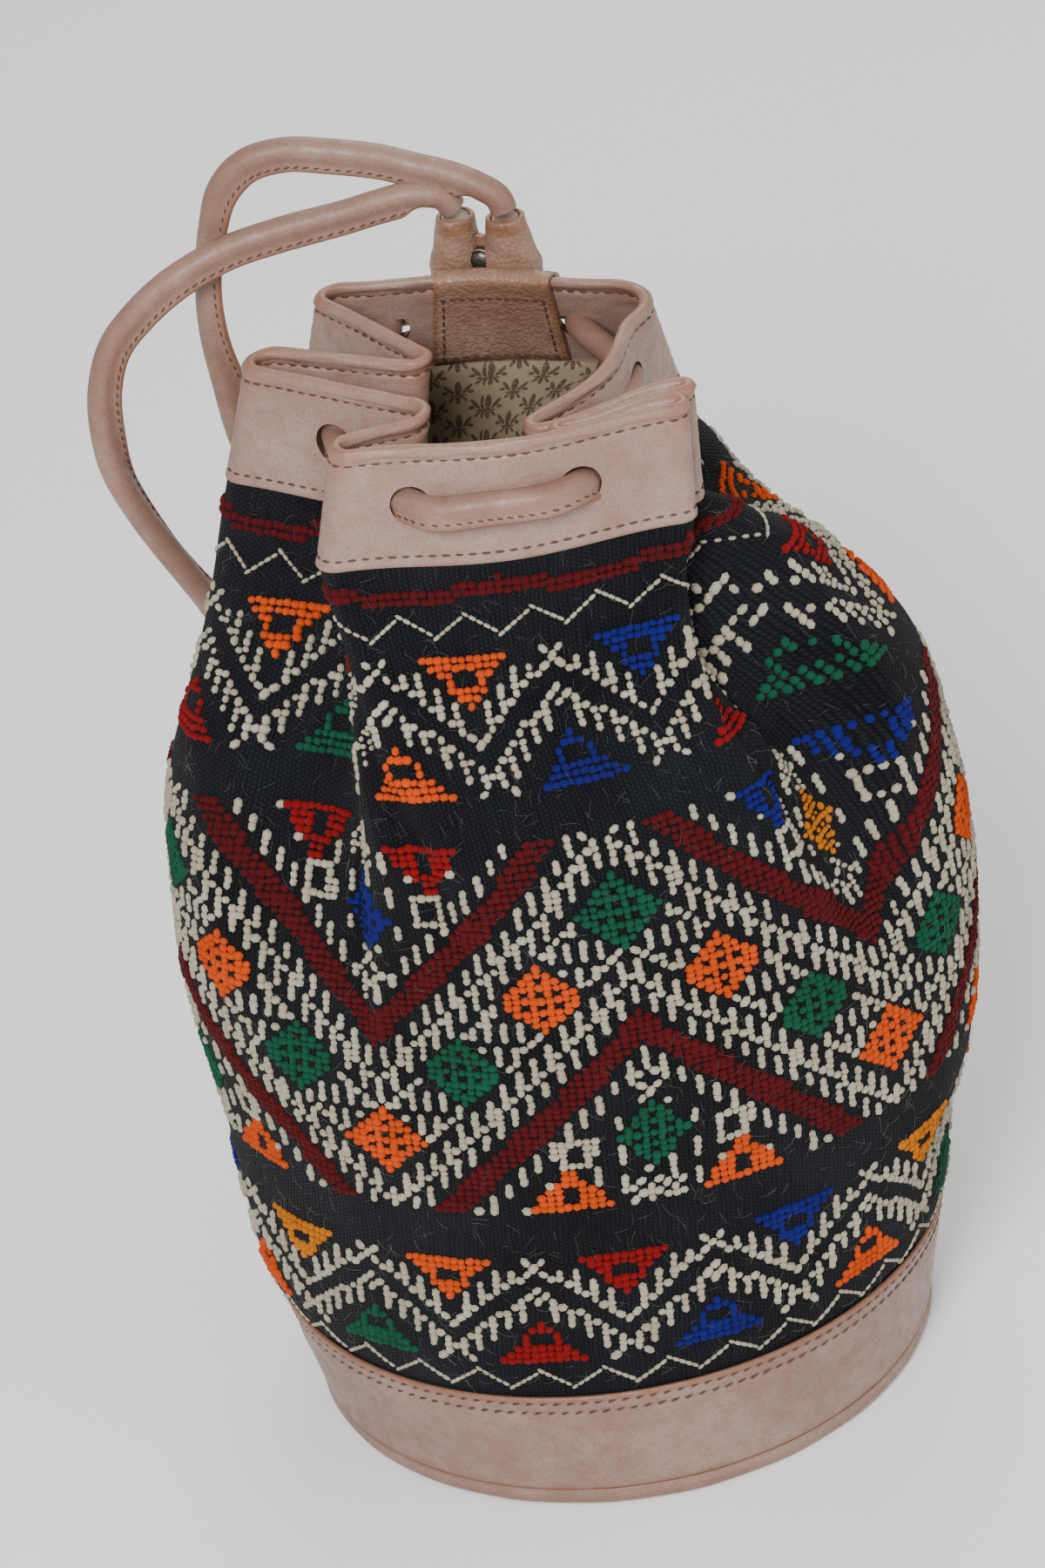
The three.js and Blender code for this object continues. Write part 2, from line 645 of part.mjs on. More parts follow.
function collar() {
  let solid = toSolid(collarBlank());
  for (const hole of cordHoles) {
    solid = solid.subtract(toSolid(holeCutter(hole)));
  }
  return fromSolid(solid.subtract(cordRoom()));
}

// The keeper's strip as a bent profile, inside flap, fold over the rim and back flap, carried
// across the keeper's width along the collar's line.
function keeperStrip() {
  const near = collarWall / 2 + 2 * gap;
  const far = near + keeperWall;
  const profile = [
    [-far, keeperFlap], [-near, keeperFlap], [-near, collarBeadRise], [-near / 2, -gap], [near / 2, -gap],
    [near, collarBeadRise], [near, keeperBackFlap], [far, keeperBackFlap], [far, collarBeadRise],
    [near / 2, -gap - keeperWall], [-near / 2, -gap - keeperWall], [-far, collarBeadRise],
  ];
  const rows = profile.map(([off, drop]) => offsetRing(stations.map((station) => {
    const place = collarPoint(station, clamp(1 - drop / collarHeight, 0, 1));
    return new THREE.Vector3(place.x, place.y, rimZ - drop);
  }), off));
  const half = keeperWidth / collarLength() / 2;
  const inside = stations.map((station) => wrap(station.turn - keeperAlong + 0.5) - 0.5)
    .filter((away) => Math.abs(away) < half)
    .sort((one, two) => two - one);
  const rings = [half, ...inside, -half].map((away) => {
    const { before, after, part } = stationsBeside(keeperAlong + away);
    return rows.map((row) => row[before].clone().lerp(row[after], part));
  });
  return ringSolid(rings, false, true);
}

// A tunnel: a leather sleeve round the cord, wide at its foot and drawn in at its top.
function tunnelSleeve(side) {
  const [foot, top] = tunnelAxis(side);
  const sleeve = [
    { share: 0, wide: 1.42 }, { share: 0.35, wide: 1.55 }, { share: 0.68, wide: 1.22 }, { share: 1, wide: 1 },
  ];
  const rings = sleeve.map(({ share, wide }) => {
    const centre = foot.clone().lerp(top, share);
    return Array.from({ length: tunnelSides }, (_, index) => new THREE.Vector3(
      centre.x + tunnelRadius * wide * Math.cos(index * tau / tunnelSides),
      centre.y + tunnelRadius * lerp(1, wide, 0.28) * Math.sin(index * tau / tunnelSides),
      centre.z,
    ));
  });
  return ringSolid(rings, false);
}

// The leather between the tunnels, from their feet up to near their tops.
function tunnelWeb() {
  const [left, right] = [tunnelAxis(-1), tunnelAxis(1)];
  const { outward } = collarAt(keeperAlong, 1);
  const rings = [0, webRise].map((share) => [[left, -1], [right, -1], [right, 1], [left, 1]].map(([axis, layer]) => (
    axis[0].clone().lerp(axis[1], share).addScaledVector(outward, layer * tunnelWall)
  )));
  return ringSolid(rings, false);
}

function keeper() {
  const tunnels = [-1, 1].map((side) => toSolid(tunnelSleeve(side)));
  const joined = toSolid(keeperStrip()).add(tunnels[0]).add(tunnels[1]).add(toSolid(tunnelWeb()));
  return fromSolid(joined.subtract(cordRoom()).subtract(rivetRoom()));
}

// The rivet's place: on the leather between the tunnels, just over the rim, facing the front.
function rivetPlace() {
  const [left, right] = [-1, 1].map((side) => {
    const [foot, top] = tunnelAxis(side);
    return foot.lerp(top, tunnelDrop / (tunnelDrop + tunnelRise));
  });
  const middle = left.lerp(right, 0.5);
  const { outward } = collarAt(keeperAlong, 1);
  const front = middle.setZ(rimZ);
  return { place: front.addScaledVector(outward, -tunnelWall - rivetHeight), outward };
}

function rivetAt(diameter, height, sides) {
  const { place, outward } = rivetPlace();
  const dome = [
    new THREE.Vector2(0, -height), new THREE.Vector2(diameter / 2, -height), new THREE.Vector2(diameter / 2, 0),
    new THREE.Vector2(diameter * 0.36, height * 0.45), new THREE.Vector2(0, height * 0.6),
  ];
  const head = new THREE.LatheGeometry(dome, sides);
  const facing = outward.clone().negate();
  head.applyQuaternion(new THREE.Quaternion().setFromUnitVectors(THREE.Object3D.DEFAULT_UP, facing));
  head.translate(place.x, place.y, place.z);
  return head;
}

const keeperRivet = () => rivetAt(rivetDiameter, rivetHeight, 14);
const rivetRoom = () => toSolid(rivetAt(rivetDiameter + 2 * gap, rivetHeight + gap, 14));

function strap(route) {
  return tube(route.map(([x, y, z]) => new THREE.Vector3(x, y, z)), cordRadius, cordSides, strapSteps);
}

// A leather tab on the back of the band, with a raised socket that the strap's end stands in.
function strapTab(side) {
  const shareAt = (z) => (z - bandFoot) / bandHeight;
  const columns = 8;
  const rows = 5;
  const outer = [];
  const inner = [];
  for (let row = 0; row <= rows; row += 1) {
    const rise = row / rows;
    const z = bandFoot + tabHeight * 0.2 + rise * tabHeight;
    const [a, b] = [lerp(soleWidth, bandWidth, shareAt(z)) / 2, lerp(soleDepth, bandDepth, shareAt(z)) / 2];
    for (let column = 0; column <= columns; column += 1) {
      const across = (column / columns - 0.5) * tabWidth;
      const x = side * tabFromMiddle + across;
      const slope = Math.atan2(b * x / a, Math.sqrt(a * a - x * x));
      const y = b * Math.sqrt(1 - (x / a) ** 2);
      const raise = bell(across, cordRadius * 1.1) * (cordDiameter + gap) * rise ** 0.8;
      const place = (away) => new THREE.Vector3(x + Math.sin(slope) * away, y + Math.cos(slope) * away, z);
      inner.push(place(gap));
      outer.push(place(gap + tabWall + raise));
    }
  }
  return sheetSolid(outer, inner, columns + 1, rows + 1);
}

// Closes two like grids of points into one solid.
function sheetSolid(outer, inner, columns, rows) {
  const points = [...outer, ...inner];
  const faces = [];
  const at = (layer, row, column) => layer * outer.length + row * columns + column;
  const quad = (a, b, c, d) => faces.push(a, b, c, a, c, d);
  for (let row = 0; row + 1 < rows; row += 1) {
    for (let column = 0; column + 1 < columns; column += 1) {
      quad(at(0, row, column), at(0, row + 1, column), at(0, row + 1, column + 1), at(0, row, column + 1));
      quad(at(1, row, column), at(1, row, column + 1), at(1, row + 1, column + 1), at(1, row + 1, column));
    }
    quad(at(0, row, 0), at(1, row, 0), at(1, row + 1, 0), at(0, row + 1, 0));
    const last = columns - 1;
    quad(at(0, row, last), at(0, row + 1, last), at(1, row + 1, last), at(1, row, last));
  }
  for (let column = 0; column + 1 < columns; column += 1) {
    quad(at(0, 0, column), at(0, 0, column + 1), at(1, 0, column + 1), at(1, 0, column));
    const top = rows - 1;
    quad(at(0, top, column), at(1, top, column), at(1, top, column + 1), at(0, top, column + 1));
  }
  return indexedGeometry(points, faces);
}

const group = new THREE.Group();

function addPiece(name, geometry, material) {
  const mesh = new THREE.Mesh(geometry, material);
  mesh.name = name;
  group.add(mesh);
}

addPiece('base_sole', baseSole(), leather);
addPiece('base_band', baseBand(), leather);
addPiece('kilim_body', kilimBody(), kilimWool);
addPiece('lining', lining(), liningCotton);
addPiece('collar', collar(), leather);
addPiece('drawcord', drawcord(), wornLeather);
addPiece('keeper', keeper(), keeperLeather);
addPiece('keeper_rivet', keeperRivet(), darkMetal);
addPiece('strap_left', strap(strapLeftRoute), leather);
addPiece('strap_right', strap(strapRightRoute), leather);
addPiece('strap_tab_left', strapTab(-1), leather);
addPiece('strap_tab_right', strapTab(1), leather);

export default group;
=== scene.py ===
"""Looks of a kilim backpack: wool tube, leather foot and collar, round cord and straps."""

import logging
import math
from dataclasses import dataclass, field
from enum import Enum
from typing import Iterable, Optional, Sequence

import bpy
import numpy as np
from bpy.types import Material, Node, NodeSocket, NodeTree, Object
from mathutils import Matrix, Vector


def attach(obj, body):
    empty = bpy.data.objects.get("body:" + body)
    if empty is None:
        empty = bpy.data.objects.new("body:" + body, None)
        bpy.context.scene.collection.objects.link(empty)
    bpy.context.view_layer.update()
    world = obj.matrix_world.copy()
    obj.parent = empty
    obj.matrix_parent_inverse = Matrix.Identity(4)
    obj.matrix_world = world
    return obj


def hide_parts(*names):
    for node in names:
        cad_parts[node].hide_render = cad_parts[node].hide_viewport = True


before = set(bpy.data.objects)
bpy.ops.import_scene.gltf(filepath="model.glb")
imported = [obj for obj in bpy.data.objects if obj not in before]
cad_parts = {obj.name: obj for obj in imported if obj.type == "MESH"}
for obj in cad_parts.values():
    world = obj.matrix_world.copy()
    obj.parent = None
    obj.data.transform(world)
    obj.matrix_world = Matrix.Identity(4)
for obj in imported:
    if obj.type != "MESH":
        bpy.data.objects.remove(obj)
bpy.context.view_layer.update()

log = logging.getLogger("kilim backpack")

Array = np.ndarray
MM = 0.001
TAU = 2 * math.pi

# Sizes in millimetres, the same as the CAD part's
GAP = 0.3
SOLE_WIDTH, SOLE_DEPTH, SOLE_LIP, SOLE_LIP_WALL = 243.0, 225.0, 8.5, 2.2
BAND_HEIGHT, BAND_WIDTH, BAND_DEPTH, BAND_WALL, BAND_LAP = 50.0, 263.0, 239.0, 2.2, 12.0
KILIM_HEIGHT, KILIM_WALL, BODY_WIDTH, BODY_DEPTH = 322.0, 2.6, 299.0, 198.0
LINING_EASE = 6.0
COLLAR_HEIGHT, COLLAR_WALL, COLLAR_ROLL = 46.5, 3.4, 5.0
MOUTH_WIDTH, MOUTH_DEPTH, MOUTH_X, MOUTH_Y = 154.0, 138.0, -4.0, 17.0
FOLD_RADIUS = 8.0
FLARE_X, FLARE_Y, SEAM_X, SEAM_Y = 1.08, 1.04, -8.0, 4.0
CORD, HOLE = 10.0, 15.5
FLANGE_REACH, FLANGE_WALL = 8.1, 2.6
KEEPER_WIDTH, KEEPER_WALL, KEEPER_FLAP, KEEPER_BACK, KEEPER_ASIDE = 46.0, 2.2, 42.0, 18.0, 6.0
TUNNEL_WALL, TUNNEL_RISE, TUNNEL_DROP = 1.9, 17.5, 14.0
TUNNEL_APART, TUNNEL_SPREAD, TUNNEL_SHIFT = 19.5, 2.5, 7.0
RIVET, RIVET_HEIGHT = 10.0, 3.0
TAB_WIDTH, TAB_HEIGHT, TAB_WALL, TAB_X = 30.0, 34.0, 2.4, 78.0
SLEEVE_SIDES = 48
LINING_WALL = 0.9

BAND_FOOT = SOLE_LIP + GAP
BAND_TOP = BAND_FOOT + BAND_HEIGHT
KILIM_FOOT = BAND_TOP - BAND_LAP
SEAM_Z = BAND_TOP + KILIM_HEIGHT
COLLAR_FOOT = SEAM_Z + GAP
RIM_Z = COLLAR_FOOT + COLLAR_HEIGHT
HOLE_Z = (COLLAR_FOOT + RIM_Z) / 2
TUNNEL_RADIUS = CORD / 2 + GAP + TUNNEL_WALL

# Sections of the wool tube: rise, width, depth, shift across and shift back, as shares
SECTIONS = np.array([
    (0.00, 0.870, 1.176, 0.003, 0.000),
    (0.03, 0.905, 1.180, 0.003, 0.000),
    (0.12, 0.938, 1.130, 0.009, -0.008),
    (0.28, 0.978, 1.045, 0.018, -0.018),
    (0.44, 1.000, 1.000, 0.024, -0.020),
    (0.60, 0.978, 1.000, 0.022, -0.012),
    (0.73, 0.932, 0.990, 0.014, 0.008),
    (0.83, 0.828, 0.930, -0.013, 0.030),
    (0.91, 0.778, 0.860, -0.021, 0.050),
    (1.00, 0.745, 0.800, -0.025, 0.080),
])


@dataclass(frozen=True)
class Fold:
    """A fold of the gathered mouth, in shares of the mouth's and collar's sizes."""

    side: int
    x: float
    y: float
    round: float
    bow: float
    reach: float
    dip: float
    lean_x: float = 0.0
    lean_y: float = 0.0


FOLDS: dict[str, Fold] = {
    "back left": Fold(1, -0.519, 0.913, 0.88, 0.00, 0.42, 0.00, 0.0, 0.20),
    "left rear valley": Fold(-1, -0.221, 0.130, 0.62, 0.00, 0.42, 0.04),
    "left": Fold(1, -0.883, 0.290, 0.94, 0.00, 0.36, 0.00),
    "left front valley": Fold(-1, -0.312, -0.464, 1.06, 0.00, 0.62, 0.04),
    "front left": Fold(1, -0.552, -0.768, 0.75, 0.12, 0.40, 0.00),
    "front right": Fold(1, 0.909, -0.870, 0.43, 0.00, 0.44, 0.00),
    "hidden valley": Fold(-1, 0.403, -0.783, 0.38, 0.00, 0.56, 0.12),
    "right": Fold(1, 0.955, -0.700, 0.43, 0.00, 0.15, 0.00),
    "right valley": Fold(-1, 0.312, -0.590, 0.50, 0.12, 0.18, 0.20),
    "back right": Fold(1, 0.665, 0.310, 2.20, 0.09, 0.10, 0.00, 0.22, 0.32),
}

# Soft dents: turn, rise, depth as a share of the body's depth, and their spreads
DENTS = (
    (0.715, 0.10, 0.030, 0.045, 0.07),
    (0.315, 0.28, 0.018, 0.060, 0.09),
    (0.415, 0.55, 0.030, 0.030, 0.16),
    (0.650, 0.56, 0.040, 0.030, 0.14),
    (0.510, 0.38, -0.030, 0.090, 0.20),
    (0.980, 0.52, 0.035, 0.090, 0.22),
)

# Creases of the wool: from turn, rise to turn, rise, then depth in millimetres and width
CREASES = (
    (0.588, 0.99, 0.632, 0.50, 6.0, 0.011),
    (0.612, 0.93, 0.662, 0.66, 3.0, 0.010),
    (0.413, 0.95, 0.447, 0.52, 4.2, 0.010),
    (0.398, 0.90, 0.385, 0.55, 2.2, 0.010),
    (0.700, 0.93, 0.735, 0.78, 1.8, 0.010),
    (0.655, 0.98, 0.690, 0.86, 2.0, 0.008),
    (0.330, 0.96, 0.322, 0.70, 1.8, 0.009),
    (0.470, 0.05, 0.440, 0.16, 1.2, 0.012),
    (0.560, 0.04, 0.600, 0.15, 1.2, 0.012),
)

# How far the lining hangs off the wool: rises of the wool and shares of the ease
LINING_SLACK = ((0.03, 0.12, 0.71, 0.82, 0.90, 0.955, 1.0), (0.2, 1, 1, 0.5, 0.1, 0.1, 0.3))

# Cord holes: the fold before the panel, the share along it, and whether the cord runs outside next
HOLES = (
    ("back right", 0.82, False),
    ("back left", 0.50, True),
    ("left rear valley", 0.50, False),
    ("left", 0.55, True),
    ("left front valley", 0.50, False),
    ("front left", 0.20, True),
    ("front left", 0.70, False),
    ("front right", 0.70, True),
    ("hidden valley", 0.30, False),
    ("right", 0.72, True),
    ("right valley", 0.75, False),
    ("back right", 0.16, True),
)

# The straps' routes in metres, from the tunnel's mouth to the tab, as chosen for the part
STRAP_LEFT = (
    (0.0019, 0.0913, 0.4486), (-0.002, 0.091, 0.454), (-0.012, 0.091, 0.4565), (-0.025, 0.091, 0.4555),
    (-0.038, 0.092, 0.453), (-0.064, 0.094, 0.449), (-0.084, 0.094, 0.445), (-0.104, 0.093, 0.437),
    (-0.119, 0.092, 0.427), (-0.131, 0.091, 0.415), (-0.138, 0.090, 0.398), (-0.140, 0.089, 0.381),
    (-0.139, 0.088, 0.365), (-0.133, 0.087, 0.347), (-0.126, 0.087, 0.331), (-0.119, 0.086, 0.317),
    (-0.110, 0.087, 0.296), (-0.101, 0.089, 0.268), (-0.093, 0.090, 0.236), (-0.087, 0.091, 0.200),
    (-0.083, 0.093, 0.162), (-0.081, 0.096, 0.124), (-0.081, 0.099, 0.090), (-0.081, 0.100, 0.066),
    (-0.0815, 0.100, 0.0503),
)
STRAP_RIGHT = (
    (0.020, 0.0838, 0.448), (0.0185, 0.0845, 0.453), (0.0125, 0.087, 0.4575), (0.002, 0.092, 0.462),
    (-0.010, 0.095, 0.466), (-0.022, 0.098, 0.470), (-0.040, 0.101, 0.474), (-0.056, 0.104, 0.476),
    (-0.071, 0.106, 0.473), (-0.081, 0.107, 0.464), (-0.087, 0.108, 0.449), (-0.092, 0.108, 0.428),
    (-0.094, 0.108, 0.406), (-0.093, 0.108, 0.384), (-0.091, 0.108, 0.362), (-0.084, 0.108, 0.332),
    (-0.071, 0.108, 0.300), (-0.052, 0.107, 0.268), (-0.028, 0.106, 0.238), (0.000, 0.106, 0.208),
    (0.026, 0.105, 0.180), (0.048, 0.104, 0.154), (0.066, 0.103, 0.126), (0.077, 0.102, 0.098),
    (0.081, 0.101, 0.072), (0.0815, 0.100, 0.0503),
)


def linear(red: int, green: int, blue: int) -> tuple[float, float, float, float]:
    """Turns a screen colour into a linear one."""
    values = [c / 255 for c in (red, green, blue)]
    out = [c / 12.92 if c <= 0.04045 else ((c + 0.055) / 1.055) ** 2.4 for c in values]
    return (out[0], out[1], out[2], 1.0)


# A leaf of the printed sprig: middle across and up, half width, half height and lean, in millimetres
SPRIG = (
    (0.0, 2.4, 1.25, 4.0, 0.0),
    (3.1, 1.9, 0.95, 2.7, -0.55),
    (4.4, 0.2, 1.15, 0.95, 0.0),
    (0.0, -1.6, 3.3, 0.65, 0.0),
    (0.0, -3.9, 0.9, 2.3, 0.0),
    (2.2, -3.5, 0.75, 1.5, 0.6),
)


# How far apart the sprigs stand, across and up
SPRIG_ACROSS, SPRIG_UP = 18.4, 18.0


class Wool(Enum):
    """Yarn colours of the kilim's pattern."""

    NONE = 0
    WHITE = 1
    DARK_RED = 2
    RED = 3
    ORANGE = 4
    GOLD = 5
    GREEN = 6
    BLUE = 7


YARN: dict[Wool, tuple[int, int, int]] = {
    Wool.WHITE: (186, 178, 158),
    Wool.DARK_RED: (86, 2, 8),
    Wool.RED: (136, 2, 6),
    Wool.ORANGE: (216, 76, 0),
    Wool.GOLD: (206, 118, 0),
    Wool.GREEN: (0, 82, 56),
    Wool.BLUE: (10, 18, 112),
}


# Diamonds between the chevrons: columns from the axis, rows from the middle and colour
CHAIN = (
    (0.0, 18.0, Wool.GREEN),
    (11.0, 6.2, Wool.ORANGE),
    (22.0, -6.2, Wool.GREEN),
    (33.0, -18.0, Wool.ORANGE),
)

# Chart rows at the low points of the two thin white zigzags
ZIGZAG_FEET = (1.5, 117.5)


@dataclass(frozen=True)
class LeatherFinish:
    """Colours and grain of one leather."""

    name: str
    base: tuple[int, int, int]
    tint: tuple[int, int, int]
    burnish: tuple[int, int, int]
    roughness: float
    grain: float
    strength: float
    crease: float


BASE_LEATHER = LeatherFinish(
    "Base leather", (134, 107, 96), (148, 124, 113), (126, 82, 58), 0.52, 900, 0.22, 0.5,
)
COLLAR_LEATHER = LeatherFinish(
    "Collar leather", (142, 116, 106), (154, 130, 120), (136, 92, 68), 0.50, 1100, 0.16, 0.35,
)
CORD_LEATHER = LeatherFinish(
    "Cord leather", (130, 100, 87), (145, 116, 103), (124, 78, 52), 0.48, 1200, 0.14, 0.4,
)
KEEPER_LEATHER = LeatherFinish(
    "Keeper leather", (142, 110, 93), (155, 127, 110), (126, 85, 58), 0.42, 620, 0.55, 0.8,
)


# Plans and surfaces


def unit(vectors: Array) -> Array:
    """Scales directions to length 1."""
    return vectors / np.maximum(np.linalg.norm(vectors, axis=-1, keepdims=True), 1e-9)


def runs_of(line: Array) -> Array:
    """Gives the length run at each point of a line."""
    return np.concatenate([[0], np.cumsum(np.linalg.norm(np.diff(line, axis=0), axis=1))])


def sample(line: Array, runs: Array, places: Array,
           period: Optional[float] = None) -> Array:
    """Gives a line's points at the places wanted, from the place of each of its points."""
    return np.stack([np.interp(places, runs, column, period=period) for column in line.T], -1)


def oval_angle(half_width: float, half_depth: float, turns: Array) -> Array:
    """Finds the angles that lie given shares of the way round an oval."""
    angles = np.linspace(0, TAU, 361)
    x, y = -half_width * np.sin(angles), half_depth * np.cos(angles)
    runs = np.concatenate([[0], np.cumsum(np.hypot(np.diff(x), np.diff(y)))])
    return np.interp(turns * runs[-1], runs, angles)


def oval_ring(width: float, depth: float, z: float, turns: Array) -> Array:
    """Makes a level oval ring with a point at each share of the way round."""
    angles = oval_angle(width / 2, depth / 2, turns)
    return np.stack([-width / 2 * np.sin(angles), depth / 2 * np.cos(angles), np.full_like(angles, z)], -1)


@dataclass
class Mouth:
    """The plan of the gathered mouth, sampled evenly round its length."""

    columns: int = 480
    place: Array = field(init=False)
    values: dict[str, Array] = field(init=False)
    length: float = field(init=False)
    panel_turns: dict[str, tuple[float, float]] = field(init=False)

    def __post_init__(self) -> None:
        """Walks the belt of rounds and panels and samples it."""
        names = list(FOLDS)
        folds = [FOLDS[name] for name in names]
        count = len(folds)
        centres = [
            np.array([MOUTH_X + f.x * MOUTH_WIDTH / 2, MOUTH_Y + f.y * MOUTH_DEPTH / 2]) for f in folds
        ]
        radii = [f.side * f.round * FOLD_RADIUS for f in folds]
        headings = []
        for i in range(count):
            run = centres[(i + 1) % count] - centres[i]
            lean = math.asin((radii[(i + 1) % count] - radii[i]) / np.linalg.norm(run))
            headings.append(math.atan2(run[1], run[0]) - lean)

        def touch(i: int, heading: float) -> Array:
            """Finds where a run meets a round."""
            return centres[i] + radii[i] * np.array([math.sin(heading), -math.cos(heading)])

        spots, marks = [], []
        for i in range(count):
            start = headings[i - 1]
            turn = ((headings[i] - start) / TAU) % 1.0
            turn = (turn if folds[i].side > 0 else turn - 1) * TAU
            steps = max(6, int(abs(turn) / 0.12))
            for step in range(steps + 1):
                spots.append(touch(i, start + turn * step / steps))
                marks.append(float(i))
            first, last = touch(i, headings[i]), touch((i + 1) % count, headings[i])
            outward = np.array([math.sin(headings[i]), -math.cos(headings[i])])
            for step in range(1, 24):
                share = step / 24
                swell = folds[i].bow * MOUTH_DEPTH / 2 * math.sin(math.pi * share) ** 2
                spots.append(first + (last - first) * share + outward * swell)
                marks.append(i + share)
        points, order = np.array(spots), np.array(marks)
        steps = np.linalg.norm(np.roll(points, -1, 0) - points, axis=1)
        self.length = float(steps.sum())
        runs = np.concatenate([[0], np.cumsum(steps)[:-1]])
        middle = (runs[order == count - 1].max() + self.length) / 2
        turns = ((runs - middle) / self.length) % 1.0
        self.panel_turns = {
            name: (
                float(((runs[order == i].max() - middle) / self.length) % 1.0),
                float(((runs[order == (i + 1) % count].min() - middle) / self.length) % 1.0),
            )
            for i, name in enumerate(names)
        }
        floor = np.floor(order).astype(int)
        share = (1 - np.cos(math.pi * (order - floor))) / 2
        rows = np.argsort(turns)
        even = self.turns
        self.values = {}
        for key in ("reach", "dip", "lean_x", "lean_y"):
            table = np.array([getattr(f, key) for f in folds])
            mixed = table[floor] * (1 - share) + table[(floor + 1) % count] * share
            self.values[key] = np.interp(even, turns[rows], mixed[rows], period=1)
        self.place = sample(points[rows], turns[rows], even, 1)

    @property
    def turns(self) -> Array:
        """Shares of the way round at the plan's samples."""
        return np.arange(self.columns) / self.columns

    def collar(self, share: float) -> Array:
        """Gives the collar's plan.

        Args:
            share: From 0 at the collar's foot to 1 at its rim.

        Returns:
            The plan's points.
        """
        down = 1 - share
        x = MOUTH_X + (self.place[:, 0] - MOUTH_X) * (1 + (FLARE_X - 1) * down)
        y = MOUTH_Y + (self.place[:, 1] - MOUTH_Y) * (1 + (FLARE_Y - 1) * down)
        x = x + (SEAM_X + self.values["lean_x"] * COLLAR_HEIGHT) * down
        y = y + (SEAM_Y + self.values["lean_y"] * COLLAR_HEIGHT) * down
        return np.stack([x, y], -1)

    def panel(self, name: str, share: float) -> float:
        """Gives the turn part of the way along the panel after a fold."""
        start, end = self.panel_turns[name]
        return (start + ((end - start) % 1.0) * share) % 1.0

    def at(self, turn: float, share: float) -> tuple[Array, Array, float]:
        """Gives a place of the collar's middle line.

        Args:
            turn: The share of the way round.
            share: From the collar's foot to its rim.

        Returns:
            The plan's point, the outward direction and the dip there.
        """
        plan = self.collar(share)
        spot = sample(plan, self.turns, turn, 1)
        step = 2.5 / self.columns
        before, after = (sample(plan, self.turns, (turn + s) % 1.0, 1) for s in (-step, step))
        along = after - before
        outward = np.array([along[1], -along[0], 0.0]) / np.linalg.norm(along)
        dip = float(np.interp(turn, self.turns, self.values["dip"], period=1)) * COLLAR_HEIGHT
        return spot, outward, dip


def section_at(rise: float) -> Array:
    """Reads the section table on a smooth line through its rows.

    Args:
        rise: The share of the way up the wool.

    Returns:
        Half width, half depth and the two shifts, in millimetres.
    """
    rises, last = SECTIONS[:, 0], len(SECTIONS) - 1
    i = int(np.clip(np.searchsorted(rises, rise, side="right") - 1, 0, last - 1))
    one, two = SECTIONS[i], SECTIONS[i + 1]
    before, after = SECTIONS[max(i - 1, 0)], SECTIONS[min(i + 2, last)]
    span = two[0] - one[0]
    s = (rise - one[0]) / span
    slope_one = (two - before) / (two[0] - before[0]) * span
    slope_two = (after - one) / (after[0] - one[0]) * span
    row = (
        (2 * s**3 - 3 * s**2 + 1) * one + (s**3 - 2 * s**2 + s) * slope_one
        + (3 * s**2 - 2 * s**3) * two + (s**3 - s**2) * slope_two
    )
    return np.array([
        row[1] * BODY_WIDTH / 2, row[2] * BODY_DEPTH / 2, row[3] * BODY_WIDTH, row[4] * BODY_DEPTH,
    ])


def body_ring(mouth: Mouth, rise: float) -> Array:
    """Gives a ring of the wool's middle surface.

    Args:
        mouth: The mouth's plan.
        rise: The share of the way up.

    Returns:
        The ring's points.
    """
    half_width, half_depth, shift_x, shift_y = section_at(rise)
    turns = mouth.turns
    angles = oval_angle(half_width, half_depth, turns)
    sunk = np.zeros_like(turns)
    for turn, height, depth, wide, tall in DENTS:
        aside = np.abs((turns - turn + 0.5) % 1.0 - 0.5)
        sunk += depth * BODY_DEPTH * np.exp(-((aside / wide) ** 2) - ((rise - height) / tall) ** 2)
    inset = KILIM_WALL / 2 + sunk
    x = shift_x - (half_width - inset) * np.sin(angles)
    y = shift_y + (half_depth - inset) * np.cos(angles)
    seam = mouth.collar(0)
    reach = mouth.values["reach"]
    gather = np.clip((rise - 1 + reach) / reach, 0, 1) ** 1.7
    z = BAND_TOP + rise * KILIM_HEIGHT - mouth.values["dip"] * COLLAR_HEIGHT * gather
    return np.stack([x + (seam[:, 0] - x) * gather, y + (seam[:, 1] - y) * gather, z], -1)


def tucked_ring(mouth: Mouth, z: float, pull: float) -> Array:
    """Gives a ring of the wool inside the leather band.

    Args:
        mouth: The mouth's plan.
        z: The ring's height.
        pull: How far it stands in.

    Returns:
        The ring's points.
    """
    share = (z - BAND_FOOT) / BAND_HEIGHT
    inset = 2 * (BAND_WALL + GAP + KILIM_WALL / 2 + pull)
    width = SOLE_WIDTH + (BAND_WIDTH - SOLE_WIDTH) * share - inset
    depth = SOLE_DEPTH + (BAND_DEPTH - SOLE_DEPTH) * share - inset
    return oval_ring(width, depth, z, mouth.turns)


def normals_of(grid: Array, wrap: bool = True) -> Array:
    """Gives a grid's outward directions.

    Args:
        grid: Points in rows that rise and columns that run counter-clockwise.
        wrap: Whether the columns close on themselves.

    Returns:
        A unit direction for each point.
    """
    if wrap:
        along = np.roll(grid, -1, 1) - np.roll(grid, 1, 1)
    else:
        along = np.gradient(grid, axis=1)
    up = np.gradient(grid, axis=0)
    return unit(np.cross(along, up))


